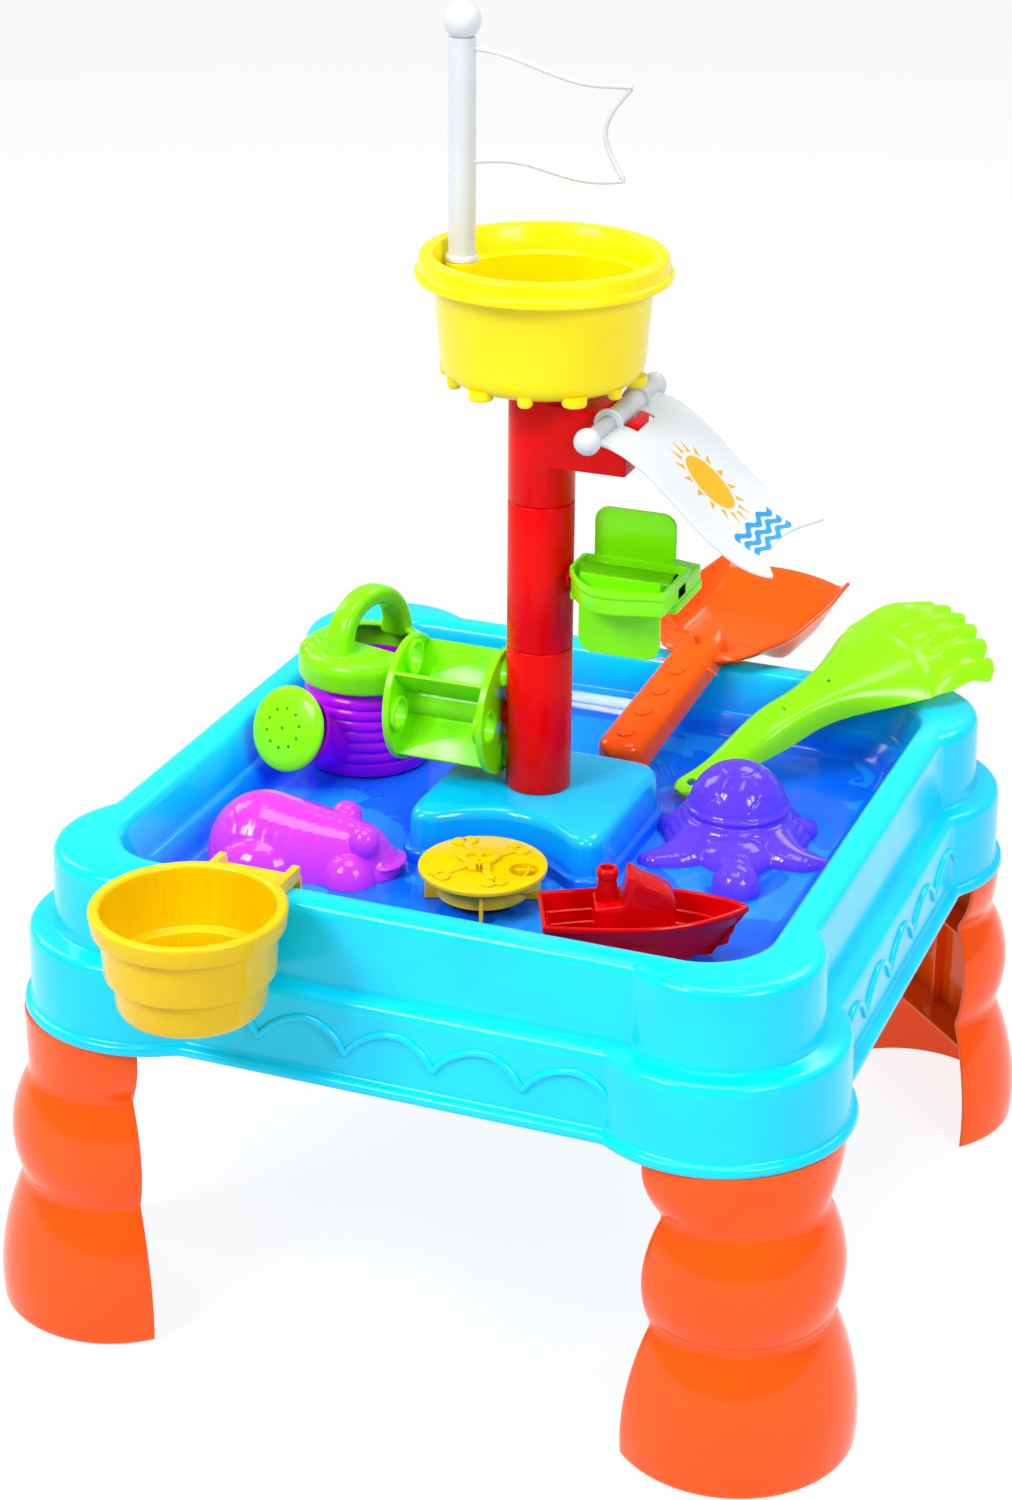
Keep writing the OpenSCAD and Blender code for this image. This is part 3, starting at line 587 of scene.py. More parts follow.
def resample(poly, step):
    """The same closed outline with points at even distances."""
    out = []
    n = len(poly)
    lengths = [(Vector(poly[(i + 1) % n]) - Vector(poly[i])).length for i in range(n)]
    count = max(8, int(sum(lengths) / step))
    span = sum(lengths) / count
    i, pos = 0, 0.0
    for k in range(count):
        target = k * span
        while pos + lengths[i] < target:
            pos += lengths[i]
            i += 1
        t = (target - pos) / lengths[i]
        a, b = Vector(poly[i]), Vector(poly[(i + 1) % n])
        out.append(tuple(a + (b - a) * t))
    return out


def relax(poly, rounds):
    """Softens a closed outline."""
    pts = [Vector(p) for p in poly]
    n = len(pts)
    for _ in range(rounds):
        pts = [pts[i] * 0.5 + (pts[i - 1] + pts[(i + 1) % n]) * 0.25 for i in range(n)]
    return [tuple(p) for p in pts]


def build_island():
    """The raised block in the basin, with a round bay in its front side."""
    (cx, cy), r = (2.0, -98.5), 54.0
    x0, x1, y0, y1 = -62, 64, -70.0, 58.0
    dx = math.sqrt(r**2 - (y0 - cy) ** 2)
    a0, a1 = math.atan2(y0 - cy, -dx), math.atan2(y0 - cy, dx)
    bay = [a0 + (a1 - a0) * k / 16 for k in range(17)]
    poly = [(x0, y0)] + [(cx + r * math.cos(a), cy + r * math.sin(a)) for a in bay] + [(x1, y0), (x1, y1), (x0, y1)]
    radii = [14] + [0] * 17 + [14, 14, 14]
    poly = relax(resample(round_path(poly, radii, 8, True), 2.0), 44)
    levels = [
        (-4.6, 255.9), (-4.4, 256.6), (-4.2, 262.4), (-3.6, 263.8), (-2.2, 264.5), (-0.6, 264.8), (-0.1, 265.6),
        (0.6, 281.5),
    ]
    crown = (0.0, 0.25, 0.5, 0.75, 1.0, 1.25, 1.571)
    levels += [(0.6 + 7.0 * (1 - math.cos(a)), 282 + 7.0 * math.sin(a)) for a in crown]
    return loft("island", terraces(poly, levels))


# ---------------------------------------------------------------- legs

CUT = 281.0  # the legs' inner ends, along the diagonal
ANKLE_Z, KNEE_Z = 85, 154
ROOT2 = math.sqrt(2)
YZ = Matrix(((0, 0, 1, 0), (1, 0, 0, 0), (0, 1, 0, 0), (0, 0, 0, 1)))


def XZ(y):
    """Stands a flat shape up across Y."""
    return Matrix(((1, 0, 0, 0), (0, 0, -1, y), (0, 1, 0, 0), (0, 0, 0, 1)))


def leg_raw(z):
    """Distance of the section's centre along the diagonal, and its outer radius."""
    if z < ANKLE_Z:
        r = 54.5 + 18 * max(0.0, math.cos(QUARTER * (z - 14) / 71)) ** 0.8
        return 197.5 * ROOT2, r
    if z < KNEE_Z:
        t = (z - ANKLE_Z) / (KNEE_Z - ANKLE_Z)
        return 197.0 * ROOT2, 54.5 - 5.2 * t + 9.6 * math.sin(math.pi * t) ** 0.75
    k = 197.0 - 12.0 * math.sin(QUARTER * min(1.0, (z - KNEE_Z) / 34))
    return k * ROOT2, 327.9 - k * ROOT2


def leg_section(z):
    """The leg's section with its steps softened."""
    zs = [max(0.0, min(SKIRT_Z, z + d)) for d in (-2.4, -1.6, -0.8, 0, 0.8, 1.6, 2.4)]
    values = [leg_raw(v) for v in zs]
    return sum(v[0] for v in values) / len(values), sum(v[1] for v in values) / len(values)


def leg_arc(c, r, z, n=44):
    """The part of a circle that lies outside the cut."""
    top = math.acos(max(-1.0, min(1.0, (CUT - c) / r)))
    return [(r * math.sin(-top + 2 * top * k / n), c + r * math.cos(-top + 2 * top * k / n), z) for k in range(n + 1)]


def leg_mesh(name):
    wall, web, seat = 3.0, 1.1, 1.4
    rings = []
    heights = [0.0, 0.4, 1.2, 2.4] + [4 + 2.6 * k for k in range(73)] + [194.9]
    for z in heights:
        c, r = leg_section(z)
        foot = 1.6 * (1 - min(1.0, z / 2.4)) ** 2
        rings.append(leg_arc(c, r - foot, z) + leg_arc(c, r - wall, z)[::-1])
    shell = loft(name, rings)
    bevel(shell, 0.7, 2, 50)
    parts = [shell]
    for z0 in (70.0, 149.0, 192.4):
        c, r = leg_section(z0 + 1)
        arc = leg_arc(c, r - seat, 0)
        parts.append(slab(name + "_shelf", [(x, y) for x, y, _ in arc][::-1], z0, z0 + 2.4, 0.6))
    # crossed ribs between the shelves
    for z0, z1 in ((71.0, 150.0), (150.0, 194.0)):
        zs = [z0 + (z1 - z0) * k / 14 for k in range(15)]
        rib = [(296.0, z0)] + [(sum(leg_section(z)) - seat, z) for z in zs] + [(296.0, z1)]
        parts.append(move(slab(name + "_rib", rib, -web, web, 0.5), YZ))
    cross_y = 304.0
    right = []
    for z in (71.0 + 123.0 * k / 30 for k in range(31)):
        c, r = leg_section(z)
        right.append((math.sqrt(max(0.0, (r - seat) ** 2 - (cross_y - c) ** 2)), z))
    cross = slab(name + "_cross", right + [(-w, z) for w, z in right[::-1]], -web, web, 0.5)
    parts.append(move(cross, XZ(cross_y)))
    # plug standing up in the tub's corner
    plug = leg_arc(185 * ROOT2, 56, 0)
    parts.append(slab(name + "_plug", [(x, y) for x, y, _ in plug][::-1], 194, 244.8, 1.5))
    return join(name, parts)


def build_legs():
    for name, az in (("back_right", 45), ("back_left", 135), ("front_left", 225), ("front_right", 315)):
        leg = leg_mesh("leg_" + name + "_piece")
        move(leg, place(rz=az - 90))
        tidy_normals(leg)
        finish_piece(leg, "table", "leg_orange", ["leg_" + name], 32)


# ---------------------------------------------------------------- loose toys


MOULD_CUT, MOULD_WALL = 0.3, 2.0


def voxel_union(name, parts, voxel, rounds):
    body = join(name, parts)
    remesh(body, voxel, rounds)
    return body


def flange(parts, voxel, x, y):
    """The lowest slice of a mould's fattened lumps."""
    skirt = voxel_union("skirt", parts, voxel, 2)
    boolean(skirt, block("slab", x, y, (-4, 2.0), 0.1), "INTERSECT")
    return skirt


def open_below(obj):
    """Cuts a mould off near the ground and makes it a thin shell, open underneath."""
    with editing(obj.data) as bm:
        bmesh.ops.bisect_plane(
            bm, geom=bm.verts[:] + bm.edges[:] + bm.faces[:], dist=1e-6,
            plane_co=(0, 0, MOULD_CUT * MM), plane_no=(0, 0, 1), clear_inner=True,
        )
        bmesh.ops.recalc_face_normals(bm, faces=bm.faces)
        if sum(f.normal.z * f.calc_area() for f in bm.faces) < 0:
            bmesh.ops.reverse_faces(bm, faces=bm.faces)
    solidify(obj, MOULD_WALL)


def press_lines(obj, segments, to_uv, depth=0.7, half=0.75):
    """Presses grooves along 2-D segments into the surface where to_uv gives a place."""
    for v in obj.data.vertices:
        uv = to_uv(v.co / MM)
        if uv is None:
            continue
        best = 9.0
        for (ax, ay), (bx, by) in segments:
            dx, dy = bx - ax, by - ay
            t = max(0.0, min(1.0, ((uv[0] - ax) * dx + (uv[1] - ay) * dy) / (dx * dx + dy * dy)))
            best = min(best, math.hypot(uv[0] - ax - t * dx, uv[1] - ay - t * dy))
        if best < 2 * half:
            v.co = v.co - v.normal * (depth * MM * math.exp(-((best / half) ** 2)))


def build_hippo():
    rump, brow = (-24, 3, 37, 33, 41.5), (32, 0, 25, 25, 30)
    lumps = []
    for k in range(9):
        t = k / 8
        x, y, a, b, c = (p + (q - p) * t for p, q in zip(rump, brow))
        lumps.append((x, y, 0, a, b + 2.5 * math.sin(math.pi * t), c))
    lumps += [
        (46, 0, 0, 15, 19, 18), (-22, -18, 0, 27, 21, 24), (34, -19, 0, 16, 15, 18),
        (-30, 26, 0, 17, 15, 19), (26, 23, 0, 14, 12, 16),
    ]
    ears = [(42, -12, 23, 9.5, 9, 10.5), (23, 17, 26, 9.5, 8.5, 9)]
    parts = [ball("lump", x, y, z, a, b, c, 40) for x, y, z, a, b, c in lumps + ears]
    # thin lip under the snout and a flange round the foot of the mould
    parts.append(ball("mouth", 52, 0, 7.5, 12.5, 16.5, 2.6, 40))
    lip = [ball("lip", x, y, z, a + 2.2, b + 2.2, c + 2, 40) for x, y, z, a, b, c in lumps]
    skirt = flange(lip, 1.2, (-90, 90), (-70, 70))
    body = voxel_union("hippo_mould_piece", parts + [skirt], 0.8, 4)

    def side_uv(p):
        return (p.x, p.z) if p.y < -4 and p.x < 0 else None

    curl = [(-50, 8), (-54, 16), (-54, 25), (-49, 32), (-42, 34), (-37, 30), (-36, 23), (-39, 17)]
    press_lines(body, list(zip(curl, curl[1:])), side_uv, 0.8, 0.9)
    press_lines(body, [((-20, 3), (-19.5, 3.4))], lambda p: (p.x, p.y) if p.z > 35 else None, 0.9, 1.1)
    open_below(body)
    move(body, place(-116, -94, BASIN_Z, 0, 0, 8))
    finish_piece(body, "hippo", "magenta", ["hippo_mould"], 60)


def fin_lumps(az, reach, root, tip, height, grow):
    """A row of flattened balls from the shell to a fin's swept tip."""
    c, s = math.cos(math.radians(az)), math.sin(math.radians(az))
    out = []
    for k in range(13):
        t = k / 12
        d = 26 + (reach - 26 - tip) * t
        w = root * (1 - t) ** 0.7 + tip * t
        sweep = (9.0 * math.sin(math.pi * t * 0.9) - 5.0 * t) * (1 if az > 0 else -1)
        h = height * (1 - 0.62 * t) ** 1.1
        out.append(ball("fin", c * d + s * sweep, s * d - c * sweep, 0, w * 0.9 + grow, w * 0.95 + grow, h, 28, az))
    return out


def build_turtle():
    def parts(grow):
        out = []
        for z, r in ((0, 47.5), (3, 46.5), (7, 43.5), (11, 39.5), (14, 36)):
            out.append(ball("body", 0, 0, z, r + grow, (r + grow) * 0.97, 7, 64))
        fins = ((50, 73, 21, 4.2), (-50, 76, 21, 4.2), (104, 52, 15, 5), (-104, 52, 15, 5))
        for az, reach, root, tip in fins:
            out += fin_lumps(az, reach, root, tip, 17, grow)
        out.append(ball("breast", 34, 0, 0, 25 + grow, 24 + grow, 15, 32))
        out.append(ball("neck", 58, 0, 0, 16 + grow, 12.5 + grow, 12, 32))
        out.append(ball("head", 78, 0, 2, 15 + grow, 15 + grow, 15.5, 40))
        return out

    skirt = flange(parts(2.0), 1.4, (-90, 120), (-90, 90))
    band = [(28, 18.4), (31.2, 18.4), (32.6, 20.2), (32.6, 21.6), (30.8, 23.0), (28, 23.0), (28, 18.4)]
    groove = lathe("groove", band, 72)
    dome = ball("dome", 0, 0, 17.5, 31, 31, 31, 64)
    body = voxel_union("turtle_mould_piece", parts(0) + [skirt, dome, groove], 0.8, 3)
    # a six-sided plate on the crown, a line from each corner and two branches at each line's end
    segments = []
    for k in range(6):
        a, b = math.radians(60 * k + 30), math.radians(60 * ((k + 1) % 6) + 30)
        segments.append(((14.5 * math.cos(a), 14.5 * math.sin(a)), (14.5 * math.cos(b), 14.5 * math.sin(b))))
        far = (30 * math.cos(a), 30 * math.sin(a))
        segments.append((segments[-1][0], far))
        for side in (-1, 1):
            b = a + math.radians(17 * side)
            segments.append((far, (38 * math.cos(b), 38 * math.sin(b))))

    def shell_uv(p):
        d = p - Vector((0, 0, 17.5))
        if d.length < 29.5 or d.length > 32.5 or p.z < 19:
            return None
        angle = math.atan2(math.hypot(d.x, d.y), d.z)
        az = math.atan2(d.y, d.x)
        return (31 * angle * math.cos(az), 31 * angle * math.sin(az))

    press_lines(body, segments, shell_uv)
    for side in (-1, 1):
        for v in body.data.vertices:
            p = v.co / MM
            gap = (p - Vector((88, 8.5 * side, 12.5))).length
            if gap < 3.0:
                v.co = v.co - v.normal * (0.7 * MM * (1 - (gap / 3.0) ** 2))
    open_below(body)
    move(body, place(116, 42, BASIN_Z, 0, 0, -73))
    finish_piece(body, "turtle", "violet", ["turtle_mould"], 60)


def build_stamp():
    top, r = 279.0, 38.3
    disc = slab("disc", circle(0, 0, r, 96), top - 3.4, top, 0.9)
    boss = slab("boss", circle(25.4, 1.5, 10.4, 40), top - 11, top - 2, 0.8)
    boolean(disc, boss, "UNION")
    well = slab("well", circle(25.4, 1.5, 8.8, 40), top - 9.5, top + 2, 0.6)
    boolean(disc, well)
    parts = [disc]
    for turn in (20, 110):
        fin = block("fin", (-34.5, 34.5), (-1.2, 1.2), (REST_Z, top - 3), 0.5)
        parts.append(move(fin, place(rz=turn)))
    parts.append(lathe("skirt", [(26.4, 262), (27.8, 262), (27.8, top - 2), (26.4, top - 2), (26.4, 262)], 72))
    relief = []
    for angle in (36, 107):
        shaft = block("shaft", (-27, 27), (-2.5, 2.5), (top - 0.6, top + 1.7), 0.6)
        relief.append(move(shaft, place(rz=angle)))
        for end in (-1, 1):
            for side in (-1, 1):
                knob = slab("knob", circle(end * 29.0, side * 3.4, 4.5, 28), top - 0.6, top + 1.7, 0.6)
                relief.append(move(knob, place(rz=angle)))
    skull = []
    for k in range(48):
        a = math.tau * k / 48
        squeeze = 1.0 if math.sin(a) > -0.2 else 0.86
        skull.append((12.6 * math.cos(a) * squeeze, 4 + 11.2 * math.sin(a)))
    face = slab("skull", skull, top - 0.6, top + 3.0, 1.1)
    jaw = block("jaw", (-6.8, 6.8), (-12.5, -4), (top - 0.6, top + 2.9), 1.0)
    boolean(face, jaw, "UNION")
    for side in (-1, 1):
        boolean(face, slab("socket", circle(4.6 * side, 2.8, 3.1, 28), top + 1.0, top + 5, 0.3))
    boolean(face, slab("nose", [(-1.5, -4.4), (1.5, -4.4), (0, -1.6)], top + 1.2, top + 5, 0.1))
    for x in (-3.3, 0.0, 3.3):
        boolean(face, block("tooth", (x - 0.45, x + 0.45), (-14, -7.6), (top + 1.2, top + 5), 0.1))
    relief.append(face)
    relief = [move(piece, place(-2.5, 0.5, 0, 0, 0, 22)) for piece in relief]
    stamp = join("sand_stamp_piece", parts + relief)
    move(stamp, place(3, -99, 0))
    finish_piece(stamp, "stamp", "golden", ["sand_stamp"], 34)


BOAT = place(61, -157, REST_Z, 0, 0, 24.4)


def hull_half(t):
    if t < 0.45:
        return 22.5 + 4.8 * math.sin(math.radians(200 * t))
    return 27.2 * max(0.0, math.cos(QUARTER * (t - 0.45) / 0.55)) ** 0.72


def boat_ring(d, z, stern=0.0, bow=0.0):
    length = 119.0
    n = 26
    ts = [1 - (1 - k / n) ** 1.5 for k in range(n + 1)]
    x0, x1 = stern + d, length - bow - 1.25 * d
    right = [(x0 + (x1 - x0) * t, -max(0.25, hull_half(t) - d), z) for t in ts]
    left = [(x, -y, z) for x, y, z in right[::-1]]
    return right + left


def build_boat():
    # inset, height and what the stern and the bow lose: keel, three lapped planks, gunwale, inside
    rows = [(10.5, 0.0, 3.0, 9.0), (9.2, 0.8, 2.6, 8.4)]
    for k, z in enumerate((7.2, 13.6, 20.0)):
        d, stern, bow = 7.0 - 2.1 * k, 2.2 - 0.6 * k, 2 * k
        for out, up, cut in ((0.9, -0.9, 7.0), (0.1, -0.4, 6.6), (0, 0.2, 6.5)):
            rows.append((d + out, z + up, stern, cut - bow))
    rows += [
        (1.1, 26.6), (0.2, 27.6), (0.0, 28.4), (0.0, 30.4), (0.5, 31.2), (1.2, 31.5), (2.0, 31.2), (2.6, 30.4),
        (2.8, 29.0), (4.6, 20.6), (5.6, 20.0), (6.8, 13.8), (7.8, 13.2), (9.0, 7.4), (10.0, 6.8), (12.0, 3.0, 3.0, 9.0),
    ]
    hull = loft("boat_hull_piece", [boat_ring(*row) for row in rows])
    move(hull, BOAT)
    finish_piece(hull, "boat", "boat_red", ["boat_hull"], 30)

    low = [
        (30, 3.2), (76, 3.2), (76.5, 38), (74, 42.5), (66, 47.2), (58, 50.6), (51.5, 55.4), (49.5, 54.4), (46.5, 37.5),
        (30.5, 36),
    ]
    low = round_path(low, [1, 1, 5, 6, 6, 4, 1.4, 1.4, 2.5, 2], 5, True)
    cabin = move(slab("cabin", low, -13.2, 13.2, 1.6), XZ(0))
    with editing(cabin.data) as bm:
        for v in bm.verts:
            # the cabin narrows upwards and towards the bow
            v.co.y *= 1 - 0.0045 * max(0.0, v.co.z / MM - 8) - 0.003 * max(0.0, v.co.x / MM - 52)
    pane = [(53.5, 49.8), (59, 46.4), (66, 43.2), (71.5, 39.8), (73.2, 36.0), (72.6, 33.4), (55.5, 40.2), (52, 44)]
    pane = round_path(pane, 2, 3, True)
    panes = [move(slab("pane", pane, 10.6 * s - 0.6, 10.6 * s + 0.6, 0.4), XZ(0)) for s in (-1, 1)]
    pipe = [(0, 30), (7.2, 30), (5.3, 50), (6.2, 50.6), (6.2, 54.6), (5.2, 56.4), (3.6, 56.4), (3.2, 48), (0, 48)]
    stack = move(lathe("stack", round_path(pipe, 0.7, 3), 48), place(38, 1.5, 0))
    top = join("boat_cabin_piece", [cabin, stack] + panes)
    move(top, BOAT)
    tidy_normals(top)
    finish_piece(top, "boat", "boat_red", ["boat_cabin"], 34)


def sheet_grid(name, rows, wall):
    """A thin curved wall through a grid of points; every row has as many points."""
    n = len(rows[0])
    verts = [p for row in rows for p in row]
    cells = [(i * n + j, (i + 1) * n + j) for i in range(len(rows) - 1) for j in range(n - 1)]
    obj = make(name, verts, [(a, a + 1, b + 1, b) for a, b in cells])
    solidify(obj, wall, 0)
    bevel(obj, min(0.9, wall * 0.32), 2, 60)
    return obj


def smoothstep(a, b, x):
    t = max(0.0, min(1.0, (x - a) / (b - a)))
    return t * t * (3 - 2 * t)


def grip(name, length, half, height, base, n, nose, tip):
    """A hollow-looking grip with a domed top; half-width and underside change along x."""
    rings = []
    for i in range(n + 1):
        t = i / n
        x = length * t
        start = 1 - max(0.0, 1 - x / nose) ** 2
        end = 1 - max(0.0, 1 - (length - x) / tip) ** 2
        round_off = math.sqrt(max(0.05, min(start, end)))
        w = (half[0] + (half[1] - half[0]) * t) * round_off
        z = base[0] + (base[1] - base[0]) * t
        ring = []
        for k in range(25):
            a = math.pi * k / 24
            dome = (0.12 + 0.88 * math.sin(a) ** 0.55) * (0.7 + 0.3 * round_off)
            ring.append((x, w * squared(math.cos(a), 0.5), z + (height - z) * dome))
        ring += [(x, y, z) for y in (-w, -w + 2.4, w - 2.4, w)]
        rings.append(ring)
    return loft(name, rings)


def build_shovel():
    parts = [grip("handle", 143, (16.5, 15.5), 15.5, (-5.0, 0.0), 72, 12.0, 24.0)]
    for k in range(4):
        parts.append(slab("button", circle(20 + 22.4 * k, 0, 6.3, 36), 13.5, 16.9, 0.8))
    length, half = 131.0, 52.0
    rows = []
    n, m = 60, 52
    for i in range(n + 1):
        u = (i / n) ** 1.7
        rows.append([])
        w = 5 + (half - 5) * math.sqrt(max(0.0, 1 - (1 - min(1.0, u / 0.46)) ** 2.1))
        w -= 2.5 * smoothstep(0.75, 1.0, u)
        deep = 9.0 * smoothstep(0.0, 0.16, u) + 13.0 * smoothstep(0.2, 0.42, u) - 13.0 * smoothstep(0.62, 1.0, u)
        for j in range(m + 1):
            v = -1 + 2 * j / m
            v = math.copysign(1 - (1 - abs(v)) ** 1.35, v)
            x = length * u + (12.0 * (1 - v * v) - 2.0) * u**3 - 9.0 * v * v * (1 - u) * u
            side = min(w * (1 - abs(v)) + 3.0 * u, length * u * 0.8 + 2.0)
            wall = 1 - smoothstep(0.0, 17.0, side)
            floor_z = 4.0 - 2.0 * u - deep
            rim_z = 5.0 - 3.0 * u - 7.0 * (1 - smoothstep(0.0, 0.22, u))
            bulge = 1.0 + 0.02 * math.sin(math.pi * min(1.0, wall)) * (deep > 6)
            rows[-1].append((x, w * v * bulge, floor_z + (rim_z - floor_z) * wall**1.5))
    blade = sheet_grid("blade", rows, 2.6)
    move(blade, place(110, 0, 9.5, 0, 9, 0))
    shovel = join("shovel_piece_mesh", parts + [blade])
    boolean(shovel, slab("hole", circle(117, 0, 1.9, 20), 8, 22, 0.1))
    shovel.name = "shovel_mesh"
    move(shovel, place(18.5, 89, 264.5, 0, -18, 78.9))
    tidy_normals(shovel)
    finish_piece(shovel, "shovel_piece", "shovel_orange", ["shovel"], 40)


def build_rake():
    """Thin tail, arched grip and a wide bowl-backed hand whose ridged end curls into teeth."""
    rows = []
    n, m = 104, 112
    total = 236.0
    for i in range(n + 1):
        u = i / n
        x0 = total * u
        rows.append([])
        spread = smoothstep(0.40, 0.88, u)
        w = 9.5 + 6.5 * smoothstep(0.08, 0.34, u) + 31.0 * spread
        if x0 < 10:
            w *= math.sqrt(max(0.05, 1 - (1 - x0 / 10) ** 2))
        crown = -1.5 + 15.0 * smoothstep(0.06, 0.36, u) + 1.5 * math.sin(math.pi * max(0.0, (u - 0.45) / 0.55))
        foot = -4.0 + 3.0 * smoothstep(0.1, 0.5, u)
        for j in range(m + 1):
            v = -1 + 2 * j / m
            v = math.copysign(1 - (1 - abs(v)) ** 1.15, v)
            side = (1 - spread) * abs(v) ** 6 + spread * abs(v) ** 2.3
            z = crown - (crown - foot) * side
            fingers = smoothstep(0.80, 0.86, u)
            ridge = 0.5 + 0.5 * math.cos(math.tau * 3.5 * v)
            z += fingers * (2.4 * ridge - 1.6)
            z -= 0.9 * (smoothstep(0.762, 0.772, u) - smoothstep(0.776, 0.79, u)) * spread
            z -= 15.0 * smoothstep(0.87, 1.05, u) ** 1.4
            gap = smoothstep(0.90, 0.99, u) * (1 - ridge) ** 3
            rows[-1].append((x0 - 13.0 * v * v * spread - 4.5 * gap, w * v, z))
    parts = [sheet_grid("hand", rows, 2.2)]
    for k in range(2):
        parts.append(slab("button", circle(84 + 25 * k, 0, 5.0, 32), 9.5, 14.6, 0.8))
    rake = join("rake_mesh", parts)
    for x, r in ((11, 3.2), (124, 1.4)):
        boolean(rake, slab("hole", circle(x, 0, r, 20), -6, 24, 0.1))
    move(rake, place(66, 76, 263, 12, -17.5, 53))
    tidy_normals(rake)
    finish_piece(rake, "rake_piece", "rake_lime", ["rake"], 44)


CAN = place(-144, 66.5, 0, 0, 0, -105)


def build_can():
    z0 = REST_Z
    profile = [(0, z0), (37.5, z0), (39.6, z0 + 1.0), (40.4, z0 + 3.2), (40.2, z0 + 9.0)]
    for k in range(6):
        for i in range(7):
            t = i / 6
            profile.append((38.5 + 1.9 * math.sin(math.pi * t) ** 0.7, z0 + 10 + 7.3 * k + 7.3 * t))
    profile += [(38.3, z0 + 55), (38.3, z0 + 62), (36.4, z0 + 62), (36.4, z0 + 5), (34, z0 + 2.2), (0, z0 + 2.2)]
    body = move(lathe("can_body", profile, 96), place(-144, 66.5, 0))
    # spout from the low front of the body to the rose
    start, end = Vector((31, 0, z0 + 15)), Vector((72.5, 0, 297.5))
    aim = (end - start).normalized()
    side = Vector((0, 1, 0))
    up = aim.cross(side) * -1

    def hoop(t, r):
        return [tuple(start + (end - start) * t + side * y + up * z) for y, z in circle(0, 0, r, 48)]

    outer = [(0.0, 13.5), (0.2, 14.0), (0.4, 15.2), (0.6, 17.2), (0.8, 20.4), (0.94, 24.2), (1.0, 25.6)]
    inner = [(1.0, 24.0), (0.9, 21.0), (0.7, 16.5), (0.5, 14.4)]
    spout = move(loft("spout", [hoop(t, r) for t, r in outer + inner]), CAN)
    can = join("can_body_piece", [body, spout])
    tidy_normals(can)
    finish_piece(can, "can", "can_purple", ["can_body"], 40)

    # rose: a domed disc with a centre hole and a ring of ten
    face = [
        (0, 3.0), (8, 2.8), (16, 1.9), (22, 0.7), (25.6, -0.8), (27.2, -2.4), (27.4, -4.0), (26.9, -5.2), (25.4, -5.6),
        (24.6, -4.2), (23.0, -2.6), (16, -0.6), (8, 0.3), (0, 0.5),
    ]
    rose = lathe("can_rose_piece", round_path(face, 0.8, 2), 72)
    for x, y in [(0, 0)] + circle(0, 0, 12.6, 10):
        boolean(rose, slab("hole", circle(x, y, 1.15, 14), -4, 8, 0.05))
    move(rose, CAN @ place(82.6, 0, 303.2, 0, 68, 0))
    finish_piece(rose, "can", "lime", ["can_rose"], 40)

    top = 315.0
    ring = [
        (38.7, top), (43.2, top), (44, top + 1.0), (44, top + 12), (43, top + 16), (40, top + 19.4), (35.5, top + 21.4),
        (31, top + 22.4), (29.6, top + 21.8), (29.2, top + 20.2), (30, top + 19), (35, top + 17.8), (38.7, top + 14.5),
        (38.7, top),
    ]
    parts = [lathe("lid", round_path(ring, 1.2, 3), 96)]
    # half deck in front of the D-shaped filling opening
    arc = [math.radians(-78 + 156 * k / 30) for k in range(31)]
    deck = [(31.5 * math.cos(a), 31.5 * math.sin(a)) for a in arc]
    parts.append(slab("deck", deck, top + 19.6, top + 22.4, 0.9))
    # filler bump beside the front foot
    parts.append(ball("bump", 24, -25, top + 17.5, 10.5, 8, 7.5, 32))
    # arched handle
    rings = []
    for k in range(31):
        t = k / 30
        a = math.pi * (1 - t)
        x = -2 + 29.5 * math.cos(a) * (1 + 0.05 * math.sin(a))
        z = top + 18 + 33.5 * math.sin(a) ** 0.85
        tangent = Vector((29.5 * math.sin(a), 0, -33.5 * math.cos(a) * 0.9)).normalized()
        out = Vector((-tangent.z, 0, tangent.x))
        flare = (1 - math.sin(a)) ** 2
        wide, thick = 8.4 + 2.2 * flare, 6.2 + 1.5 * flare
        ring = []
        for c, s in circle(0, 0, 1, 24):
            reach = thick * squared(s, 0.65)
            ring.append((x + out.x * reach, wide * squared(c, 0.65), z + out.z * reach))
        rings.append(ring)
    parts.append(loft("handle", rings))
    cover = join("can_lid_piece", parts)
    remesh(cover, 0.9, 3)
    move(cover, CAN)
    finish_piece(cover, "can", "lime", ["can_lid"], 60)


# ---------------------------------------------------------------- sail print


def sail_point(u, y, lift):
    """A place on the top face of the sail at a distance u from the rod."""
    def drop(s):
        return 1.2 + 34 * (1 - math.cos(math.pi * s / 110)) - 0.06 * max(0.0, s - 60)

    n = Vector((drop(u + 0.5) - drop(u - 0.5), 0, 1)).normalized()
    return (ROD_X + u + n.x * lift, y, ROD_Z - drop(u) + n.z * lift)


def print_patch(name, outline, material):
    """A thin printed shape laid on the sail from an outline in (along, across) millimetres."""
    obj = add(name, bpy.data.meshes.new(name))
    with editing(obj.data) as bm:
        bm.faces.new([bm.verts.new((u * MM, v * MM, 0)) for u, v in outline])
        bmesh.ops.triangulate(bm, faces=bm.faces)
        bmesh.ops.subdivide_edges(bm, edges=bm.edges, cuts=3, use_grid_fill=True)
    for v in obj.data.vertices:
        x, y, z = sail_point(v.co.x / MM, v.co.y / MM, 0.18)
        v.co = (x * MM, y * MM, z * MM)
    solidify(obj, 0.12)
    smooth(obj, 30)
    wear(obj, "sail_white", material)
    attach(obj, "sail")


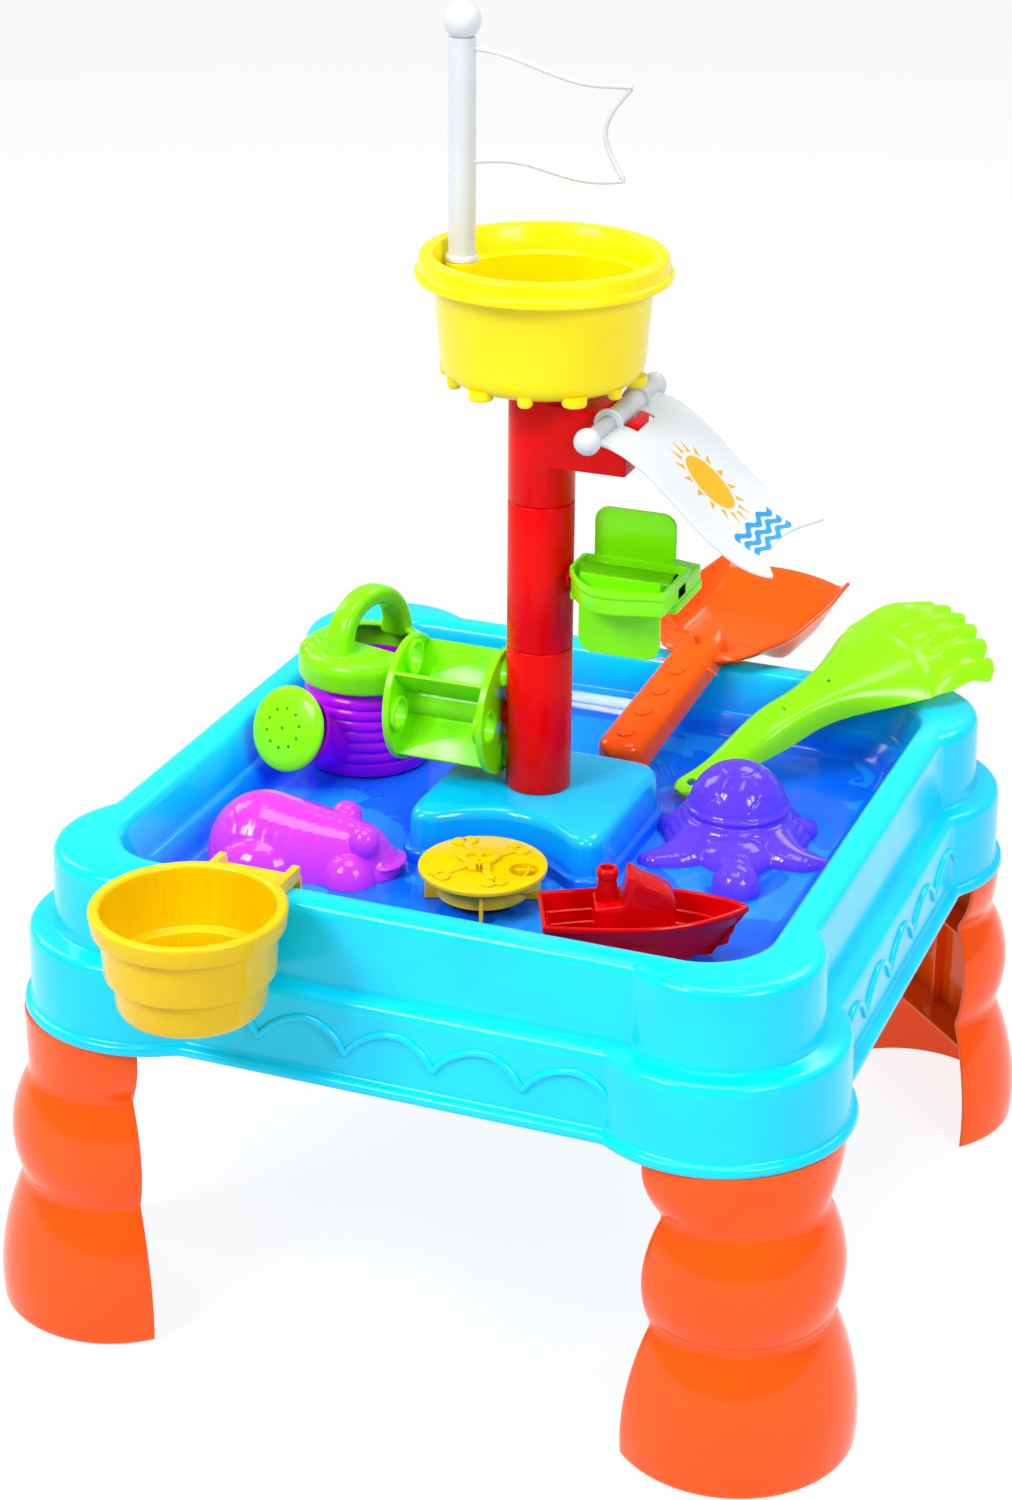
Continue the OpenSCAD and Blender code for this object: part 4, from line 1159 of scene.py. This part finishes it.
def build_print():
    """A sun with sixteen rays and three wavy lines."""
    sun = 55.0
    print_patch("sail_print_sun", circle(sun, 0, 14.5, 48), "print_amber")
    for k in range(16):
        a, d = math.tau * k / 16, math.tau / 64
        corners = ((17, a - d), (23.5, a), (17, a + d))
        ray = [(sun + r * math.cos(b), r * math.sin(b)) for r, b in corners]
        print_patch("sail_print_ray_%02d" % k, ray, "print_amber")
    half_width, cycles = 1.7, 3
    for k in range(3):
        u0 = sun + 27 + 6.0 * k
        upper, lower = [], []
        for v in (-30 + 60 * i / 40 for i in range(41)):
            wave = 1.7 * math.sin(v / 60 * math.tau * cycles)
            upper.append((u0 - half_width + wave, v))
            lower.append((u0 + half_width + wave, v))
        print_patch("sail_print_wave_%d" % k, upper + lower[::-1], "print_blue")


# ---------------------------------------------------------------- paddle wheel, tipping rotor and sail

TURN_X = Matrix(((0, 0, 1, 0), (0, 1, 0, 0), (-1, 0, 0, 0), (0, 0, 0, 1)))


def build_wheel():
    x0, x1, radius = -87.4, -21.9, 39.6
    flat = [
        (7.1, 0.6), (7.1, 3.5), (36.6, 3.5), (37.4, 4.4), (39.0, 4.4), (39.6, 3.8), (39.6, 0.6), (39.0, 0), (37.6, 0),
        (37.0, 0.5), (7.6, 0.3), (7.1, 0.6),
    ]
    hoop = [
        (8.9, 0.0), (9.5, -0.5), (10.6, -0.5), (11.2, 0.1), (11.2, 7.0), (10.7, 7.5), (9.4, 7.5), (8.9, 7.0),
        (8.9, 0.0),
    ]
    tube_wall = [(7.1, 0.4), (11.4, 0.4), (12, 1.0), (12, 64.5), (11.4, 65.1), (7.1, 65.1), (7.1, 0.4)]
    solid = []
    for x, side in ((x0, 1), (x1, -1)):
        at = Matrix.Translation((x, 0, WHEEL_Z)) @ TURN_X @ Matrix.Diagonal((1, 1, side, 1))
        disc = lathe("disc", flat, 96)
        for k in range(4):
            a = math.radians(90 * k + 92)
            cy, cz = 26.5 * math.cos(a), 26.5 * math.sin(a)
            boolean(disc, slab("hole", circle(-cz, cy, 9.4, 40), -2, 8, 0.05))
            solid.append(move(move(lathe("collar", hoop, 48), place(-cz, cy, 0)), at))
        solid.append(move(disc, at))
    solid.append(move(lathe("barrel", tube_wall, 64), Matrix.Translation((x0, 0, WHEEL_Z)) @ TURN_X))
    for k in range(4):
        blade = block("blade", (x0 + 1.5, x1 - 1.5), (10.5, radius - 0.8), (-1.25, 1.25), 0.7)
        solid.append(move(blade, place(0, 0, WHEEL_Z, 90 * k + 47)))
    wheel = join("paddle_wheel_piece", solid)
    tidy_normals(wheel)
    finish_piece(wheel, "wheel", "lime", ["paddle_wheel"], 34)


def tray_outline():
    x0, x1 = 22.6, 90.0
    front = []
    for k in range(25):
        t = k / 24
        bow = 32 * math.sin(QUARTER * min(1.0, t / 0.45)) ** 0.8 - 7 * smoothstep(0.5, 1.0, t)
        front.append((x0 + (x1 - x0) * t, -12 - bow))
    return resample(front + [(x1, 12.0), (x0, 12.0)], 0.6)


def hexagon(x):
    """A ring of a hexagonal pocket for the wall at the right end."""
    out = []
    for k in range(48):
        a = math.tau * k / 48
        r = 8.4 * math.cos(math.pi / 6) / math.cos((a % (math.pi / 3)) - math.pi / 6)
        out.append((x, r * math.cos(a), r * math.sin(a)))
    return out


def dish(name, poly):
    """An open tray in one closed skin: outer wall, rolled lip, inner wall and floor."""
    outer = [
        (1.9, -4.5), (1.3, -4.1), (1.0, -3.2), (1.0, 5.0), (0.5, 5.6), (0.1, 6.4), (0.1, 10.0), (0.4, 10.7),
        (1.0, 11.0),
    ]
    inner = [(1.3, 11.0), (1.9, 10.6), (2.1, 9.8), (2.1, 1.8), (2.6, 1.0), (3.5, 0.8)]
    sharp, soft = relax(poly, 12), relax(poly, 110)
    return loft(name, terraces(sharp, outer) + terraces(soft, inner))


def build_rotor():
    poly = tray_outline()
    solid = []
    for turn in (0, 180):
        tray = dish("tray", poly)
        boolean(tray, loft("pocket", [hexagon(84.5), hexagon(93.0)]))
        ridge = lathe("ridge", [(0, 24), (9.4, 24), (9.4, 84.5), (0, 84.5)], 48)
        ridge = move(ridge, TURN_X)
        blade = [(29.6, -8), (80.4, -8)]
        r = 9.0
        for corner, start in ((80.4 - r, 0.0), (29.6 + r, QUARTER)):
            for a in (start + QUARTER * k / 8 for k in range(9)):
                blade.append((corner + r * math.cos(a), 41.4 - r + r * math.sin(a)))
        plate = slab("plate", blade, -14.6, -11.6, 0.8)
        solid += [move(piece, place(0, 0, ROTOR_Z, turn)) for piece in (tray, ridge, move(plate, XZ(0)))]
    rotor = join("tipping_rotor_piece", solid)
    tidy_normals(rotor)
    finish_piece(rotor, "rotor", "lime", ["tipping_rotor"], 34)


def build_sail():
    us = [-5.0, -2.5, 0.0, 2.5, 5.0, 7.5, 10.0, 12.5, 15.4]
    ys = [-52 + 36.4 * k / 10 for k in range(11)] + [-15.6 + 31.2 * k / 8 for k in range(1, 9)]
    ys += [15.6 + 36.4 * k / 10 for k in range(1, 11)]
    tail = 36
    verts, faces = [], []
    for y in ys:
        end = min(110.0, 202 - math.sqrt(105**2 - y * y))
        row = us + [us[-1] + (end - us[-1]) * k / tail for k in range(1, tail + 1)]
        verts += [sail_point(u, y, 0.0) for u in row]
    n = len(us) + tail
    for i in range(len(ys) - 1):
        for j in range(n - 1):
            if j < len(us) - 1 and abs(ys[i] + ys[i + 1]) < 31:
                continue
            faces.append((i * n + j, i * n + j + 1, (i + 1) * n + j + 1, (i + 1) * n + j))
    sheet = make("sheet", verts, faces)
    with editing(sheet.data) as bm:
        bmesh.ops.recalc_face_normals(bm, faces=bm.faces)
        if sum(f.normal.z for f in bm.faces) < 0:
            bmesh.ops.reverse_faces(bm, faces=bm.faces)
        bmesh.ops.delete(bm, geom=[v for v in bm.verts if not v.link_faces], context="VERTS")
    solidify(sheet, 2.2)
    bevel(sheet, 0.7, 2, 50)
    parts = [sheet]
    along = Matrix.Translation((ROD_X, 0, ROD_Z)) @ Matrix(((1, 0, 0, 0), (0, 0, 1, 0), (0, -1, 0, 0), (0, 0, 0, 1)))
    sleeve = [(5.1, -21), (6.5, -21), (6.5, 25), (5.1, 25), (5.1, -21)]
    parts.append(move(lathe("sleeve", sleeve, 48), along))
    for y in (-23.0, 25.0):
        ring = [(5.1, y), (8.3, y), (8.9, y + 0.6), (8.9, y + 1.6), (8.3, y + 2.2), (5.1, y + 2.2), (5.1, y)]
        parts.append(move(lathe("collar", ring, 48), along))
    sail = join("sail_sheet_piece", parts)
    tidy_normals(sail)
    finish_piece(sail, "sail", "sail_white", ["sail_sheet"], 34)


# ---------------------------------------------------------------- crow's nest


def build_nest():
    base, rim, seat, bore = NEST_Z, NEST_RIM_Z, SEAT_Z, 14.05
    profile = [
        (0, base + 12.6), (bore, base + 12.6), (bore, base), (49, base), (53.4, base + 1.0), (56.6, base + 3.2),
        (58.8, base + 6.4), (60.0, base + 11), (63.4, rim - 16.4), (63.9, rim - 15.2), (65.0, rim - 14.4),
        (73.4, rim - 14.2),
        (74.5, rim - 13.6), (74.9, rim - 12.6), (74.7, rim - 10.6), (74.2, rim - 9.8), (73.2, rim - 9.4),
        (72.6, rim - 8.8),
        (72.0, rim - 2.0), (71.6, rim - 0.9), (70.8, rim - 0.2), (69.8, rim), (65.4, rim), (64.2, rim - 0.3),
        (63.4, rim - 1.2),
        (61.4, rim - 15), (58.4, rim - 17), (57, base + 12), (55.8, base + 7.8), (53.4, base + 4.6), (50, base + 2.9),
        (48, base + 2.6), (17.6, base + 2.6), (17.0, base + 3.2), (17.0, base + 15.2), (16.2, base + 16),
        (0, base + 16),
    ]
    parts = [lathe("shell", profile, 160)]
    for k in range(12):
        r = 7.4 if k % 2 == 0 else 4.4
        a = math.radians(30 * k + 10)
        knob = [
            (0, base - 2.6), (r * 0.7, base - 2.5), (r - 0.7, base - 1.9), (r - 0.1, base - 0.8), (r, base + 0.6),
            (r, base + 4), (0, base + 4),
        ]
        parts.append(move(lathe("knob", knob, 40), place(54 * math.cos(a), 54 * math.sin(a))))
    cuff = [
        (6.05, seat - 30), (6.05, seat - 0.5), (6.5, seat), (9.2, seat), (9.8, seat - 0.6), (9.8, base + 4),
        (6.05, base + 4), (6.05, seat - 30),
    ]
    parts.append(move(lathe("cuff", cuff, 56), place(POLE_X, 0)))
    nest = join("nest_bucket_piece", parts)
    tidy_normals(nest)
    finish_piece(nest, "nest", "yellow", ["nest_bucket"], 34)


def build_flag():
    seat, knob_r, knob_z = SEAT_Z, 10.9, 750
    pole = [
        (0, seat - 27), (5.2, seat - 27), (6, seat - 26.2), (6, seat + 0.1), (9.2, seat + 0.1), (9.7, seat + 0.6),
        (9.7, seat + 3.4), (9.2, seat + 4), (8, seat + 4), (8, 740.3), (7.4, 741), (6.2, 741),
    ]
    for k in range(29):
        a = math.radians(-55.4 + 145.4 * k / 28)
        pole.append((knob_r * math.cos(a) if k < 28 else 0, knob_z + knob_r * math.sin(a)))
    parts = [move(lathe("pole", pole, 72), place(POLE_X, 0))]

    def top(u):
        return 734.9 - 7.4 * (1 - math.cos(math.pi * min(1.0, u / 76))) + 0.045 * max(0.0, u - 76)

    def low(u):
        return 670.6 + 3 * math.sin(math.radians(3.6 * u)) - 0.02 * u

    def fly(t):
        return 42.4 + 9 * abs(2 * t - 1) ** 1.5 * (0.55 if t < 0.5 else 1) - 7 * math.sin(math.pi * t)

    start = POLE_X + 6.5
    path = [(start + 95.2 * k / 40, top(95.2 * k / 40)) for k in range(41)]
    z_top, z_low = top(97), low(97)
    path += [(fly(t), z_low + (z_top - z_low) * t) for t in (1 - k / 40 for k in range(1, 40))]
    path += [(start + 0.94 * u, low(u)) for u in (97 * (1 - k / 40) for k in range(41))]
    parts.append(tube("frame", [(x, 0, z) for x, z in path], 1.5, 16))
    flag = join("flag_pole_and_frame", parts)
    tidy_normals(flag)
    finish_piece(flag, "flag_piece", "white", ["flag"], 40)


# ---------------------------------------------------------------- raised marks on the basin floor


def floor_marks():
    """A fan shell, a small ring and a patch of dots, all low relief."""
    z, (cx, cy) = MARK_Z, SHELL
    parts = []
    arc = [math.radians(-30 + 240 * k / 24) for k in range(25)]
    fan = [(cx + 13.5 * math.cos(a), cy + 11.5 * math.sin(a), z) for a in arc]
    fan += [(cx - 2, cy - 11, z), (cx + 2, cy - 11, z)]
    parts.append(tube("shell_rim", fan, 0.75, 8, True))
    for k in range(5):
        a = math.radians(18 + 36 * k)
        c, s = math.cos(a), math.sin(a)
        rib = [(cx + 0.6 * c, cy - 9.5 + 2 * s, z), (cx + 12.5 * c, cy + 10.6 * s, z)]
        parts.append(tube("shell_rib", rib, 0.65, 8))
    parts.append(tube("ring", [(x, y, z) for x, y in circle(*RING, 5, 24)], 0.6, 8, True))
    dx, dy = DOTS
    for i in range(6):
        for j in range(5):
            x, y = dx + 4.2 * (i - 2.5) + (j % 2) * 2.1, dy + 3.6 * (j - 2)
            parts.append(ball("dot", x, y, z, 0.9, 0.9, 0.7, 10))
    return parts


# ---------------------------------------------------------------- pieces that keep their CAD shape


# node, body, slot, width of the rounded edges
CAD_PIECES = [
    ("mast_lower", "table", "mast_red", 0.9), ("mast_middle", "table", "mast_red", 0.9),
    ("mast_head", "table", "mast_red", 1.0), ("wheel_axle", "table", "mast_red", 0.8),
    ("rotor_axle", "table", "mast_red", 0.6), ("sail_rod", "sail", "white", 0.0), ("hook_cup", "cup", "golden", 0.6),
]


def keep_cad():
    for node, body, slot, width in CAD_PIECES:
        finish_piece(cad_copy(node, width), body, slot, [node], 40)


# ---------------------------------------------------------------- stage


def build_stage():
    half, z = 9000, -0.5
    floor = make("floor", [(-half, -half, z), (half, -half, z), (half, half, z), (-half, half, z)], [(0, 1, 2, 3)])
    mat = bpy.data.materials.new("floor")
    mat.use_nodes = True
    bsdf = mat.node_tree.nodes["Principled BSDF"]
    bsdf.inputs["Base Color"].default_value = (0.17, 0.17, 0.17, 1)
    bsdf.inputs["Roughness"].default_value = 0.9
    bsdf.inputs["Specular IOR Level"].default_value = 0.1
    bsdf.inputs["Emission Color"].default_value = (1, 1, 1, 1)
    bsdf.inputs["Emission Strength"].default_value = 0.85
    floor.data.materials.append(mat)

    world = bpy.data.worlds.new("studio")
    scene.world = world
    world.use_nodes = True
    back = world.node_tree.nodes["Background"]
    back.inputs["Color"].default_value = (1.0, 1.0, 1.0, 1)
    back.inputs["Strength"].default_value = 0.36

    # softboxes by azimuth from the front, elevation, distance, size and power
    boxes = [
        ("key_a", -38, 40, 2600, (0.30, 0.85), 24), ("key_b", -24, 42, 2600, (0.24, 0.85), 20),
        ("fill_a", 52, 34, 2700, (0.32, 0.8), 18), ("fill_b", 66, 36, 2700, (0.26, 0.8), 14),
        ("top", 10, 84, 2700, (1.5, 1.3), 40), ("back", 165, 48, 2900, (1.6, 0.9), 22),
        ("side", -105, 36, 2700, (0.8, 1.2), 18),
    ]
    for name, az, el, far, size, power in boxes:
        data = bpy.data.lights.new(name, "AREA")
        data.shape = "RECTANGLE"
        data.size, data.size_y = size
        data.energy = power
        obj = add(name, data)
        a, e = math.radians(az), math.radians(el)
        aim = Vector((0, 0, 300)) * MM
        obj.location = aim + Vector((math.sin(a) * math.cos(e), -math.cos(a) * math.cos(e), math.sin(e))) * far * MM
        obj.rotation_euler = (aim - obj.location).to_track_quat("-Z", "Y").to_euler()


def build_camera():
    data = bpy.data.cameras.new("camera")
    data.sensor_width = 36
    data.lens = 73.44
    data.clip_end = 50
    cam = add("camera", data)
    at = Vector((601.97, -1603.38, 1077.25))
    right = Vector((0.93097, 0.36503, 0.00648)).normalized()
    look = Vector((-0.33072, 0.85070, -0.40858)).normalized()
    up = right.cross(look).normalized()
    right = look.cross(up).normalized()
    m = Matrix((right, up, -look)).transposed().to_4x4()
    m.translation = at * MM
    cam.matrix_world = m
    scene.camera = cam


scene.view_settings.view_transform = "Standard"
build_camera()
build_stage()
build_tub()
build_legs()
build_hippo()
build_turtle()
build_stamp()
build_boat()
build_shovel()
build_rake()
build_can()
build_wheel()
build_rotor()
build_sail()
build_nest()
build_flag()
build_print()
keep_cad()
